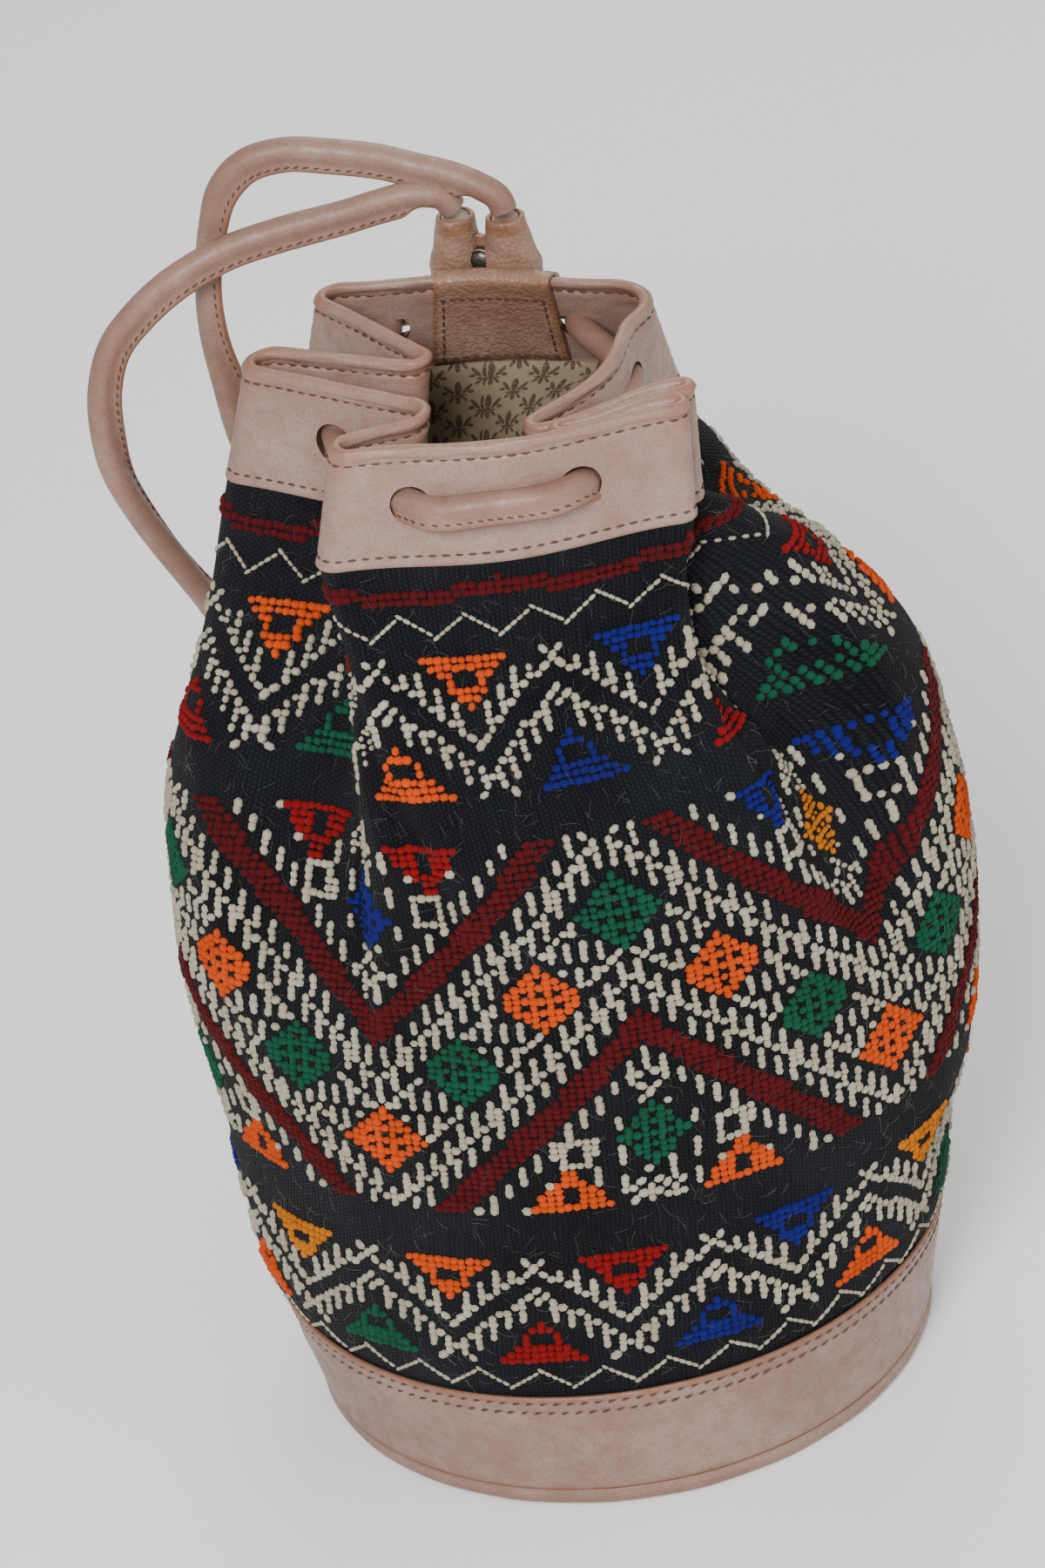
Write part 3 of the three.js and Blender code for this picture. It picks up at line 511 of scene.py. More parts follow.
def waves(u: Array, v: Array, seed: int, size: float, count: int = 14) -> Array:
    """Sums slow waves of random direction, even round the bag.

    Args:
        u: Shares of the way round.
        v: Shares of the way up.
        seed: The fixed seed.
        size: How many waves fit, about.
        count: How many waves are summed.

    Returns:
        Values from about -1 to 1.
    """
    rng = np.random.default_rng(seed)
    total = np.zeros(np.broadcast(u, v).shape)
    for _ in range(count):
        around = int(rng.integers(1, max(2, int(size))))
        upward = rng.uniform(-size / 2, size / 2)
        total += rng.uniform(0.5, 1) * np.sin(TAU * (around * u + upward * v) + rng.uniform(0, TAU))
    return total / math.sqrt(count)


# Meshes


def new_object(name: str, verts: Array, faces: Sequence, material: Optional[Material],
               smooth: float = 55.0) -> Object:
    """Makes an object from points in millimetres.

    Args:
        name: The object's name.
        verts: Points, one row each.
        faces: Faces as lists of indices.
        material: Its material.
        smooth: The angle in degrees past which an edge stays sharp.

    Returns:
        The object.
    """
    mesh = bpy.data.meshes.new(name)
    mesh.from_pydata((verts.reshape(-1, 3) * MM).tolist(), [], faces)
    mesh.update()
    if len(mesh.polygons):
        mesh.polygons.foreach_set("use_smooth", [True] * len(mesh.polygons))
        mesh.set_sharp_from_angle(angle=math.radians(smooth))
    if material is not None:
        mesh.materials.append(material)
    obj = bpy.data.objects.new(name, mesh)
    bpy.context.scene.collection.objects.link(obj)
    return obj


def grid_faces(rows: int, columns: int, wrap_rows: bool, wrap_columns: bool, first: int = 0) -> Array:
    """Gives the quads of a grid.

    Args:
        rows: How many rows.
        columns: How many columns.
        wrap_rows: Whether the rows close on themselves.
        wrap_columns: Whether the columns do.
        first: The grid's first index.

    Returns:
        Quads, one row each.
    """
    r = np.arange(rows if wrap_rows else rows - 1)
    c = np.arange(columns if wrap_columns else columns - 1)
    rr, cc = np.meshgrid(r, c, indexing="ij")
    r2, c2 = (rr + 1) % rows, (cc + 1) % columns
    quads = np.stack([rr * columns + cc, rr * columns + c2, r2 * columns + c2, r2 * columns + cc], -1)
    return quads.reshape(-1, 4) + first


def grid_object(name: str, grid: Array, material: Material, wrap_rows: bool = False,
                wrap_columns: bool = True, caps: bool = False, smooth: float = 55.0,
                uv: Optional[tuple[Array, Array]] = None,
                values: Optional[dict[str, Array]] = None) -> Object:
    """Makes an object from a grid of points.

    Args:
        name: The object's name.
        grid: Points in millimetres, by row and column.
        material: Its material.
        wrap_rows: Whether the rows close on themselves.
        wrap_columns: Whether the columns do.
        caps: Whether the first and last rows are filled.
        smooth: The angle past which an edge stays sharp.
        uv: Column and row values for a map named place.
        values: Point values by attribute name.

    Returns:
        The object.
    """
    rows, columns = grid.shape[:2]
    quads = grid_faces(rows, columns, wrap_rows, wrap_columns)
    faces = quads.tolist()
    if caps:
        faces.append(list(range(columns))[::-1])
        faces.append(list(range((rows - 1) * columns, rows * columns)))
    obj = new_object(name, grid, faces, material, smooth)
    if uv is not None:
        across, upward = uv
        corner_c = np.array([0, 1, 1, 0])
        corner_r = np.array([0, 0, 1, 1])
        cell_r, cell_c = np.divmod(np.arange(len(quads)), columns if wrap_columns else columns - 1)
        step = across[1] - across[0]
        us = across[cell_c][:, None] + corner_c[None, :] * step
        vs = upward[(cell_r[:, None] + corner_r[None, :]) % rows]
        flat = np.zeros((len(obj.data.loops), 2))
        flat[: us.size] = np.stack([us.ravel(), vs.ravel()], -1)
        layer = obj.data.uv_layers.new(name="place")
        layer.data.foreach_set("uv", flat.ravel())
    for key, value in (values or {}).items():
        attribute = obj.data.attributes.new(key, "FLOAT", "POINT")
        spread = np.broadcast_to(value, (rows, columns)).astype(np.float32)
        attribute.data.foreach_set("value", spread.ravel())
    return obj


def smooth_line(points: Array, step: float) -> Array:
    """Samples a smooth line through points.

    Args:
        points: The points it passes through.
        step: The distance between samples.

    Returns:
        Even samples along it.
    """
    ends = np.vstack([2 * points[0] - points[1], points, 2 * points[-1] - points[-2]])
    out = []
    for i in range(1, len(ends) - 2):
        p = ends[i - 1:i + 3]
        spans = np.maximum(np.linalg.norm(np.diff(p, axis=0), axis=1), 1e-6)
        knots = np.concatenate([[0], np.cumsum(spans ** 0.5)])
        for t in np.linspace(knots[1], knots[2], 13)[:-1]:
            a = [(knots[k + 1] - t) / (knots[k + 1] - knots[k]) * p[k]
                 + (t - knots[k]) / (knots[k + 1] - knots[k]) * p[k + 1] for k in range(3)]
            b = [(knots[k + 2] - t) / (knots[k + 2] - knots[k]) * a[k]
                 + (t - knots[k]) / (knots[k + 2] - knots[k]) * a[k + 1] for k in range(2)]
            span = knots[2] - knots[1]
            out.append((knots[2] - t) / span * b[0] + (t - knots[1]) / span * b[1])
    out.append(points[-1])
    line = np.array(out)
    runs = runs_of(line)
    return sample(line, runs, np.linspace(0, runs[-1], max(3, int(runs[-1] / step))))


def line_frames(line: Array, under: Array) -> tuple[Array, Array, Array]:
    """Gives directions along, to the underside of and across a line.

    Args:
        line: Points along it.
        under: The direction that the underside leans to, one for all or one a point.

    Returns:
        Three arrays of unit directions.
    """
    along = unit(np.gradient(line, axis=0))
    under = np.broadcast_to(under, line.shape).astype(float)
    down = under - (under * along).sum(1, keepdims=True) * along
    kernel = np.hanning(25)[:, None]
    padded = np.vstack([down[:1]] * 12 + [down] + [down[-1:]] * 12)
    down = np.stack([np.convolve(padded[:, k], kernel[:, 0], "valid") for k in range(3)], -1)
    down -= (down * along).sum(1, keepdims=True) * along
    down = unit(down)
    return along, down, np.cross(along, down)


# Points with beads: stitches and knots


@dataclass
class BeadPoints:
    """Places for stitches or knots, each with its direction, outward side and size."""

    spots: list[Array] = field(default_factory=list)
    along: list[Array] = field(default_factory=list)
    outward: list[Array] = field(default_factory=list)
    sizes: list[Array] = field(default_factory=list)

    def add(self, spots: Array, along: Array, outward: Array, size: Iterable[float]) -> None:
        """Adds places."""
        self.spots.append(spots)
        self.along.append(along)
        self.outward.append(np.broadcast_to(outward, spots.shape))
        self.sizes.append(np.broadcast_to(np.array(tuple(size), float), spots.shape))

    def ring(self, ring: Array, pitch: float, ahead: float, lean: float, side: int,
             size: tuple[float, float, float]) -> None:
        """Adds a row of stitches round a closed ring.

        Args:
            ring: The ring's points.
            pitch: The distance between stitches.
            ahead: How far ahead the direction is read.
            lean: How far the stitches rise on the way.
            side: 1 to face away from the ring's middle and -1 to face it.
            size: Half a stitch's length, width and height.
        """
        closed = np.vstack([ring, ring[:1]])
        runs = runs_of(closed)
        count = int(runs[-1] / pitch)
        at = (np.arange(count) + 0.5) * runs[-1] / count
        spots = sample(closed, runs, at)
        along = sample(closed, runs, (at + ahead) % runs[-1]) - spots + np.array([0, 0, lean])
        self.add(spots, along, np.stack([along[:, 1], -along[:, 0], np.zeros(count)], -1) * side, size)

    def build(self, name: str, group: NodeTree, material: Material) -> Object:
        """Makes the beads as a plain mesh.

        Args:
            name: The object's name.
            group: The node group that makes beads on points.
            material: Their material.

        Returns:
            The object.
        """
        spots, outward, along = np.vstack(self.spots), unit(np.vstack(self.outward)), np.vstack(self.along)
        along = unit(along - (along * outward).sum(1, keepdims=True) * outward)
        side = np.cross(outward, along)
        angles = np.stack([
            np.arctan2(side[:, 2], outward[:, 2]),
            -np.arcsin(np.clip(along[:, 2], -1, 1)),
            np.arctan2(along[:, 1], along[:, 0]),
        ], -1)
        obj = new_object(name, spots, [], None)
        for key, value in (("facing", angles), ("half_size", np.vstack(self.sizes) * MM)):
            attribute = obj.data.attributes.new(key, "FLOAT_VECTOR", "POINT")
            attribute.data.foreach_set("vector", value.astype(np.float32).ravel())
        modifier = obj.modifiers.new("Beads", "NODES")
        modifier.node_group = group
        wanted = {"Segments": 6, "Rings": 4, "Jitter": 0.12, "Seed": 7, "Material": material}
        for item in group.interface.items_tree:
            if getattr(item, "in_out", "") == "INPUT" and item.name in wanted:
                modifier[item.identifier] = wanted[item.name]
        obj.update_tag()
        return bake(obj)


def bake(obj: Object) -> Object:
    """Turns an object's modifiers into a plain mesh.

    Args:
        obj: The object.

    Returns:
        The same object.
    """
    bpy.context.view_layer.update()
    graph = bpy.context.evaluated_depsgraph_get()
    mesh = bpy.data.meshes.new_from_object(obj.evaluated_get(graph))
    obj.modifiers.clear()
    old = obj.data
    obj.data = mesh
    mesh.name = obj.name
    bpy.data.meshes.remove(old)
    return obj


def bead_group() -> NodeTree:
    """Makes the node group that sets a rounded bead on each point.

    Returns:
        The node group.
    """
    tree = bpy.data.node_groups.new("Beads on points", "GeometryNodeTree")
    for name, kind in (("Geometry", "Geometry"), ("Segments", "Int"), ("Rings", "Int"), ("Jitter", "Float"),
                       ("Seed", "Int"), ("Material", "Material")):
        tree.interface.new_socket(name, in_out="INPUT", socket_type="NodeSocket" + kind)
    tree.interface.new_socket("Geometry", in_out="OUTPUT", socket_type="NodeSocketGeometry")
    shade = Shade(tree)
    into, out = shade.node("NodeGroupInput").outputs, shade.node("NodeGroupOutput").inputs
    sphere = shade.node("GeometryNodeMeshUVSphere")
    shade.fill(sphere, Segments=into["Segments"], Rings=into["Rings"], Radius=1.0)
    named = {}
    for key in ("facing", "half_size"):
        node = shade.node("GeometryNodeInputNamedAttribute", data_type="FLOAT_VECTOR")
        shade.fill(node, Name=key)
        named[key] = node.outputs["Attribute"]
    turned = shade.node("FunctionNodeEulerToRotation")
    shade.feed(turned.inputs[0], named["facing"])
    spread = shade.node("FunctionNodeRandomValue", data_type="FLOAT")
    low, high = [socket for socket in spread.inputs if socket.type == "VALUE" and socket.name in ("Min", "Max")]
    shade.feed(low, shade.minus(1.0, into["Jitter"]))
    shade.feed(high, shade.plus(1.0, into["Jitter"]))
    shade.fill(spread, Seed=into["Seed"])
    scaled = shade.node("ShaderNodeVectorMath", operation="SCALE")
    shade.feed(scaled.inputs[0], named["half_size"])
    shade.fill(scaled, Scale=[socket for socket in spread.outputs if socket.type == "VALUE"][0])
    place = shade.node("GeometryNodeInstanceOnPoints")
    shade.fill(place, Points=into["Geometry"], Instance=sphere.outputs["Mesh"], Rotation=turned.outputs[0],
               Scale=scaled.outputs[0])
    real = shade.node("GeometryNodeRealizeInstances")
    shade.feed(real.inputs[0], place.outputs["Instances"])
    dress = shade.node("GeometryNodeSetMaterial")
    shade.fill(dress, Geometry=real.outputs[0], Material=into["Material"])
    shade.feed(out[0], dress.outputs[0])
    return tree


# Materials


class Shade:
    """A small helper that builds one node tree."""

    def __init__(self, tree: NodeTree) -> None:
        """Keeps the tree."""
        self.tree = tree

    def node(self, kind: str, **values: object) -> Node:
        """Adds a node and sets its properties."""
        made = self.tree.nodes.new(kind)
        for key, value in values.items():
            setattr(made, key, value)
        return made

    def feed(self, socket: NodeSocket, value: object) -> None:
        """Links a socket to another or sets its value."""
        if isinstance(value, NodeSocket):
            self.tree.links.new(value, socket)
        else:
            socket.default_value = value

    def fill(self, made: Node, **values: object) -> None:
        """Feeds a node's inputs by name."""
        for key, value in values.items():
            self.feed(made.inputs[key], value)

    def math(self, operation: str, *values: object) -> NodeSocket:
        """Adds a math node."""
        made = self.node("ShaderNodeMath", operation=operation)
        for socket, value in zip(made.inputs, values):
            self.feed(socket, value)
        return made.outputs[0]

    def plus(self, one: object, two: object) -> NodeSocket:
        """Adds two values."""
        return self.math("ADD", one, two)

    def minus(self, one: object, two: object) -> NodeSocket:
        """Takes the second value from the first."""
        return self.math("SUBTRACT", one, two)

    def times(self, one: object, two: object) -> NodeSocket:
        """Multiplies two values."""
        return self.math("MULTIPLY", one, two)

    def over(self, one: object, two: object) -> NodeSocket:
        """Divides the first value by the second."""
        return self.math("DIVIDE", one, two)

    def span(self, value: object, low: float, high: float, to_low: float = 0.0,
             to_high: float = 1.0) -> NodeSocket:
        """Maps a value from one range to another, held at both ends.

        Args:
            value: The value.
            low: Where the range starts.
            high: Where it ends.
            to_low: The result at the start.
            to_high: The result at the end.

        Returns:
            The mapped value.
        """
        made = self.node("ShaderNodeMapRange", interpolation_type="SMOOTHSTEP")
        for key, given in (("Value", value), ("From Min", low), ("From Max", high),
                           ("To Min", to_low), ("To Max", to_high)):
            self.feed(made.inputs[key], given)
        return made.outputs["Result"]

    def noise(self, place: object, scale: object, detail: float = 3.0, rough: float = 0.55,
              kind: str = "FBM", bent: float = 0.0) -> NodeSocket:
        """Adds a noise texture.

        Args:
            place: The coordinates.
            scale: How many features a metre.
            detail: Its detail.
            rough: Its roughness.
            kind: Its type.
            bent: Its distortion.

        Returns:
            Its value.
        """
        made = self.node("ShaderNodeTexNoise", noise_type=kind)
        self.fill(made, Vector=place, Scale=scale, Detail=detail, Roughness=rough, Distortion=bent)
        return made.outputs[0]

    def cells(self, place: object, scale: object, feature: str = "F1") -> NodeSocket:
        """Adds a cell texture and gives its distance."""
        made = self.node("ShaderNodeTexVoronoi", feature=feature)
        self.fill(made, Vector=place, Scale=scale)
        return made.outputs["Distance"]

    def mix(self, share: object, one: object, two: object, how: str = "MIX") -> NodeSocket:
        """Mixes two colours.

        Args:
            share: The share of the second.
            one: The first.
            two: The second.
            how: The blend.

        Returns:
            The mixed colour.
        """
        made = self.node("ShaderNodeMix", data_type="RGBA", blend_type=how)
        self.feed(made.inputs[0], share)
        self.feed(made.inputs[6], one)
        self.feed(made.inputs[7], two)
        return made.outputs[2]

    def shift(self, place: object, by: tuple[float, float, float], scale: tuple[float, float, float]
              ) -> NodeSocket:
        """Moves and scales coordinates."""
        made = self.node("ShaderNodeMapping")
        self.fill(made, Vector=place, Location=by, Scale=scale)
        return made.outputs[0]


def new_group(name: str, inputs: dict[str, str], outputs: dict[str, str]) -> tuple[Shade, dict, dict]:
    """Makes a shader node group.

    Args:
        name: Its name.
        inputs: Kinds by input name: Color, Float or Vector.
        outputs: Kinds by output name.

    Returns:
        The helper, the inputs' sockets and the outputs' sockets.
    """
    tree = bpy.data.node_groups.new(name, "ShaderNodeTree")
    for key, kind in inputs.items():
        tree.interface.new_socket(key, in_out="INPUT", socket_type="NodeSocket" + kind)
    for key, kind in outputs.items():
        tree.interface.new_socket(key, in_out="OUTPUT", socket_type="NodeSocket" + kind)
    into, out = tree.nodes.new("NodeGroupInput"), tree.nodes.new("NodeGroupOutput")
    given = {key: into.outputs[key] for key in inputs}
    return Shade(tree), given, {key: out.inputs[key] for key in outputs}


def leather_group() -> NodeTree:
    """Makes the group for leather: blotches, pebbled grain, creases and worn edges, with painted shade in the
    grain's pits and along the creases.
    """
    shade, given, out = new_group(
        "Leather skin",
        {"Base": "Color", "Tint": "Color", "Burnish": "Color", "Grain": "Float", "Crease": "Float",
         "Roughness": "Float", "Wear": "Float"},
        {"Color": "Color", "Roughness": "Float", "Height": "Float"},
    )
    place = shade.node("ShaderNodeTexCoord").outputs["Object"]
    blotch = shade.span(shade.noise(place, 26, 4, 0.6), 0.38, 0.64)
    mottle = shade.span(shade.noise(place, 150, 4, 0.65), 0.35, 0.68)
    fine = shade.noise(place, shade.times(given["Grain"], 1.7), 2)
    pebble = shade.cells(place, given["Grain"])
    lines = shade.span(shade.noise(place, 95, 3, 0.5, "RIDGED_MULTIFRACTAL", 0.6), 0.62, 0.98)
    colour = shade.mix(blotch, given["Base"], given["Tint"])
    colour = shade.mix(shade.times(mottle, 0.30), colour, given["Burnish"])
    # dark is laid in the grain's pits and along the crease lines, where the bump sinks: painted shade.
    dark = shade.mix(0.55, colour, (0.12, 0.05, 0.025, 1))
    pits = shade.times(shade.span(pebble, 0.35, 0.75), 0.42)
    colour = shade.mix(pits, colour, dark)
    colour = shade.mix(shade.times(lines, shade.times(given["Crease"], 0.5)), colour, dark)
    edge = shade.times(given["Wear"], shade.span(shade.noise(place, 210, 3), 0.25, 0.6, 0.55, 1))
    colour = shade.mix(edge, colour, given["Burnish"])
    shade.feed(out["Color"], colour)
    rough = shade.plus(given["Roughness"], shade.times(shade.minus(mottle, 0.5), 0.16))
    rough = shade.minus(rough, shade.times(edge, 0.1))
    shade.feed(out["Roughness"], rough)
    height = shade.minus(shade.times(fine, 0.5), pebble)
    height = shade.minus(height, shade.times(lines, given["Crease"]))
    shade.feed(out["Height"], height)
    return shade.tree


def wool_group() -> NodeTree:
    """Makes the group for the kilim's ground: ribs of warp crossed by fine weft, painted lighter where the
    beads stand up and darker in the grooves.
    """
    shade, given, out = new_group(
        "Wool ground", {"Dark": "Color", "Light": "Color", "Rib": "Float", "Pick": "Float"},
        {"Color": "Color", "Height": "Float"},
    )
    uv = shade.node("ShaderNodeUVMap", uv_map="place").outputs[0]
    split = shade.node("ShaderNodeSeparateXYZ")
    wobble = shade.noise(shade.shift(uv, (0, 0, 0), (1, 1, 1)), 90, 2)
    shade.feed(split.inputs[0], uv)
    across = shade.plus(shade.over(split.outputs[0], given["Rib"]), shade.times(wobble, 2.2))
    parity = shade.times(shade.math("FLOOR", across), 0.5)
    upward = shade.plus(shade.over(split.outputs[1], given["Pick"]), parity)
    rib = shade.math("ABSOLUTE", shade.math("SINE", shade.times(across, math.pi)))
    pick = shade.math("ABSOLUTE", shade.math("SINE", shade.times(upward, math.pi)))
    bead = shade.times(shade.math("POWER", rib, 0.6), shade.math("POWER", pick, 0.5))
    place = shade.node("ShaderNodeTexCoord").outputs["Object"]
    slub = shade.noise(shade.shift(uv, (0, 0, 0), (1, 0.12, 1)), 420, 4, 0.7)
    patch = shade.noise(place, 18, 3)
    # Lighter where the weave's beads and slubs stand up and darker in the grooves between them: painted light
    # and shade; the patch term varies the tone at random.
    share = shade.plus(shade.times(bead, 0.42), shade.times(slub, 0.55))
    share = shade.plus(share, shade.times(shade.minus(patch, 0.5), 0.6))
    shade.feed(out["Color"], shade.mix(shade.span(share, 0.25, 1.0), given["Dark"], given["Light"]))
    shade.feed(out["Height"], shade.plus(bead, shade.times(slub, 0.5)))
    return shade.tree


def yarn_group() -> NodeTree:
    """Makes the group for knotted yarn: uneven dye, and fibres with painted shade between them."""
    shade, given, out = new_group("Yarn", {"Dye": "Color"}, {"Color": "Color", "Height": "Float"})
    place = shade.node("ShaderNodeTexCoord").outputs["Object"]
    uneven = shade.noise(place, 70, 3)
    fibre = shade.noise(shade.shift(place, (0, 0, 0), (1, 1, 2.4)), 2200, 3, 0.7)
    # dark is laid where the fibre height sinks: painted shade between the fibres.
    dark = shade.mix(0.62, given["Dye"], (0.012, 0.010, 0.012, 1))
    light = shade.mix(1.0, given["Dye"], (0.72, 0.70, 0.66, 1), "MULTIPLY")
    colour = shade.mix(shade.span(uneven, 0.3, 0.75), light, given["Dye"])
    colour = shade.mix(shade.span(fibre, 0.30, 0.62), dark, colour)
    shade.feed(out["Color"], colour)
    shade.feed(out["Height"], fibre)
    return shade.tree


def sprig_group() -> NodeTree:
    """Makes the group for the printed lining: diagonal twill with a plain leafed sprig."""
    shade, given, out = new_group(
        "Printed twill", {"Cloth": "Color", "Print": "Color"}, {"Color": "Color", "Height": "Float"},
    )
    uv = shade.node("ShaderNodeUVMap", uv_map="place").outputs[0]
    split = shade.node("ShaderNodeSeparateXYZ")
    shade.feed(split.inputs[0], uv)
    u, v = (shade.times(split.outputs[k], 1 / MM) for k in (0, 1))
    mask = None
    for offset in (0.0, 0.5):
        a = shade.minus(shade.math("FRACT", shade.plus(shade.over(u, SPRIG_ACROSS), offset)), 0.5)
        b = shade.minus(shade.math("FRACT", shade.plus(shade.over(v, SPRIG_UP), offset)), 0.5)
        side, rise = shade.math("ABSOLUTE", shade.times(a, SPRIG_ACROSS)), shade.times(b, SPRIG_UP)
        for x, y, width, height, lean in SPRIG:
            across = shade.minus(side, x)
            along = shade.minus(rise, y)
            turned = shade.plus(across, shade.times(along, lean))
            wide = shade.math("POWER", shade.math("ABSOLUTE", shade.over(turned, width)), 2.0)
            tall = shade.math("POWER", shade.math("ABSOLUTE", shade.over(along, height)), 2.0)
            leaf = shade.math("LESS_THAN", shade.plus(wide, tall), 1.0)
            mask = leaf if mask is None else shade.math("MAXIMUM", mask, leaf)
    worn = shade.span(shade.noise(uv, 900, 3), 0.25, 0.55, 0.35, 0.9)
    twill = shade.math("SINE", shade.times(shade.plus(u, v), TAU / 1.1))
    tone = shade.span(twill, -1, 1, 0.0, 0.35)
    cloth = shade.mix(tone, given["Cloth"], given["Print"])
    cloth = shade.mix(shade.times(shade.noise(uv, 30, 3), 0.25), cloth, given["Print"])
    shade.feed(out["Color"], shade.mix(shade.times(mask, worn), cloth, given["Print"]))
    shade.feed(out["Height"], twill)
    return shade.tree


@dataclass
class Finishes:
    """All the materials, each built from the shared node groups."""

    leather: NodeTree = field(default_factory=leather_group)
    wool: NodeTree = field(default_factory=wool_group)
    yarn: NodeTree = field(default_factory=yarn_group)
    sprig: NodeTree = field(default_factory=sprig_group)
    made: dict[str, Material] = field(default_factory=dict)

    def start(self, name: str) -> tuple[Material, Shade, Node]:
        """Starts a material.

        Args:
            name: Its name.

        Returns:
            The material, its helper and its shader.
        """
        material = bpy.data.materials.new(name)
        material.use_nodes = True
        shade = Shade(material.node_tree)
        shader = material.node_tree.nodes["Principled BSDF"]
        self.made[name] = material
        return material, shade, shader

    def bump(self, shade: Shade, shader: Node, height: NodeSocket, strength: float,
             distance: float) -> None:
        """Feeds a height to the shader's normal."""
        bump = shade.node("ShaderNodeBump")
        shade.fill(bump, Strength=strength, Distance=distance, Height=height)
        shade.feed(shader.inputs["Normal"], bump.outputs[0])

    def from_group(self, name: str, group: NodeTree, inputs: dict[str, object],
                   values: dict[str, float], bump: tuple[float, float] = (0, 0)) -> Material:
        """Gives a material whose colour comes from a node group, made at its first use.

        Args:
            name: Its name.
            group: The node group.
            inputs: The group's inputs by name.
            values: The shader's plain values by name.
            bump: The strength and distance of its bump, if it has one.

        Returns:
            The material.
        """
        if name in self.made:
            return self.made[name]
        material, shade, shader = self.start(name)
        node = shade.node("ShaderNodeGroup")
        node.node_tree = group
        shade.fill(node, **inputs)
        shade.fill(shader, **values)
        shade.feed(shader.inputs["Base Color"], node.outputs["Color"])
        if node.inputs.get("Wear"):
            wear = shade.node("ShaderNodeAttribute", attribute_name="wear")
            shade.feed(node.inputs["Wear"], wear.outputs["Fac"])
            shade.feed(shader.inputs["Roughness"], node.outputs["Roughness"])
        if bump[0]:
            self.bump(shade, shader, node.outputs["Height"], *bump)
        return material

    def leather_of(self, finish: LeatherFinish) -> Material:
        """Gives a leather."""
        inputs = {"Base": linear(*finish.base), "Tint": linear(*finish.tint),
                  "Burnish": linear(*finish.burnish), "Grain": finish.grain, "Crease": finish.crease,
                  "Roughness": finish.roughness}
        values = {"Specular IOR Level": 0.42}
        return self.from_group(finish.name, self.leather, inputs, values, (finish.strength, 0.0006))

    def wool_ground(self) -> Material:
        """Gives the kilim's dark ground."""
        inputs = {"Dark": linear(5, 6, 8), "Light": linear(30, 32, 37), "Rib": 0.0017, "Pick": 0.0017}
        values = {"Roughness": 0.92, "Specular IOR Level": 0.1, "Sheen Weight": 0.03, "Sheen Roughness": 0.5}
        return self.from_group("Kilim ground", self.wool, inputs, values, (0.75, 0.0008))

    def yarn_of(self, wool: Wool) -> Material:
        """Gives one colour of knotted yarn."""
        name = "Yarn " + wool.name.lower().replace("_", " ")
        values = {"Roughness": 0.88, "Specular IOR Level": 0.12, "Sheen Weight": 0.02}
        return self.from_group(name, self.yarn, {"Dye": linear(*YARN[wool])}, values, (0.5, 0.0004))

    def lining_cloth(self) -> Material:
        """Gives the printed cotton."""
        inputs = {"Cloth": linear(152, 136, 110), "Print": linear(66, 48, 40)}
        values = {"Roughness": 0.85, "Specular IOR Level": 0.25}
        return self.from_group("Printed cotton", self.sprig, inputs, values, (0.25, 0.0003))

    def thread(self) -> Material:
        """Gives the waxed brown thread, also laid on the collar's hole walls as painted shade."""
        inputs = {"Dye": linear(84, 54, 40)}
        return self.from_group("Thread", self.yarn, inputs, {"Roughness": 0.55}, (0.3, 0.0002))

    def fibre(self) -> Material:
        """Gives the loose dark fibres."""
        return self.from_group("Loose fibre", self.yarn, {"Dye": linear(120, 118, 118)}, {"Roughness": 0.9})

    def dark_metal(self) -> Material:
        """Gives the rivet's dark worn metal."""
        material, shade, shader = self.start("Dark metal")
        place = shade.node("ShaderNodeTexCoord").outputs["Object"]
        rubbed = shade.span(shade.noise(place, 900, 4), 0.42, 0.66)
        wear = shade.node("ShaderNodeAttribute", attribute_name="wear").outputs["Fac"]
        shade.feed(shader.inputs["Base Color"], shade.mix(
            shade.math("MAXIMUM", wear, shade.times(rubbed, 0.4)),
            linear(52, 46, 44), linear(176, 166, 154),
        ))
        shader.inputs["Metallic"].default_value = 0.9
        shade.feed(shader.inputs["Roughness"], shade.span(rubbed, 0, 1, 0.42, 0.26))
        self.bump(shade, shader, rubbed, 0.1, 0.0002)
        return material

    def pale_floor(self) -> Material:
        """Gives the plain pale floor."""
        material, shade, shader = self.start("Pale floor")
        place = shade.node("ShaderNodeTexCoord").outputs["Object"]
        tone = shade.noise(place, 3, 2)
        pale = shade.mix(tone, (0.90, 0.90, 0.90, 1), (0.93, 0.93, 0.93, 1))
        shade.feed(shader.inputs["Base Color"], pale)
        shader.inputs["Roughness"].default_value = 0.75
        return material


# Pieces


def closed_piece(name: str, grid: Array, material: Material, wear: Array,
                 smooth: float = 60.0, wrap_rows: bool = False) -> Object:
    """Makes a closed piece that faces outwards."""
    piece = grid_object(name, grid, material, wrap_rows=wrap_rows, caps=not wrap_rows, smooth=smooth,
                        values={"wear": wear})
    face_outward(piece)
    return piece


def fit(piece: Object, slot: str, *nodes: str) -> Object:
    """Sets a piece to ride on the root and hides the CAD nodes it stands for.

    Args:
        piece: The piece.
        slot: Its slot, which is not used.
        *nodes: The CAD nodes it replaces.

    Returns:
        The piece.
    """
    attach(piece, "root")
    for node in nodes:
        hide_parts(node)
    return piece


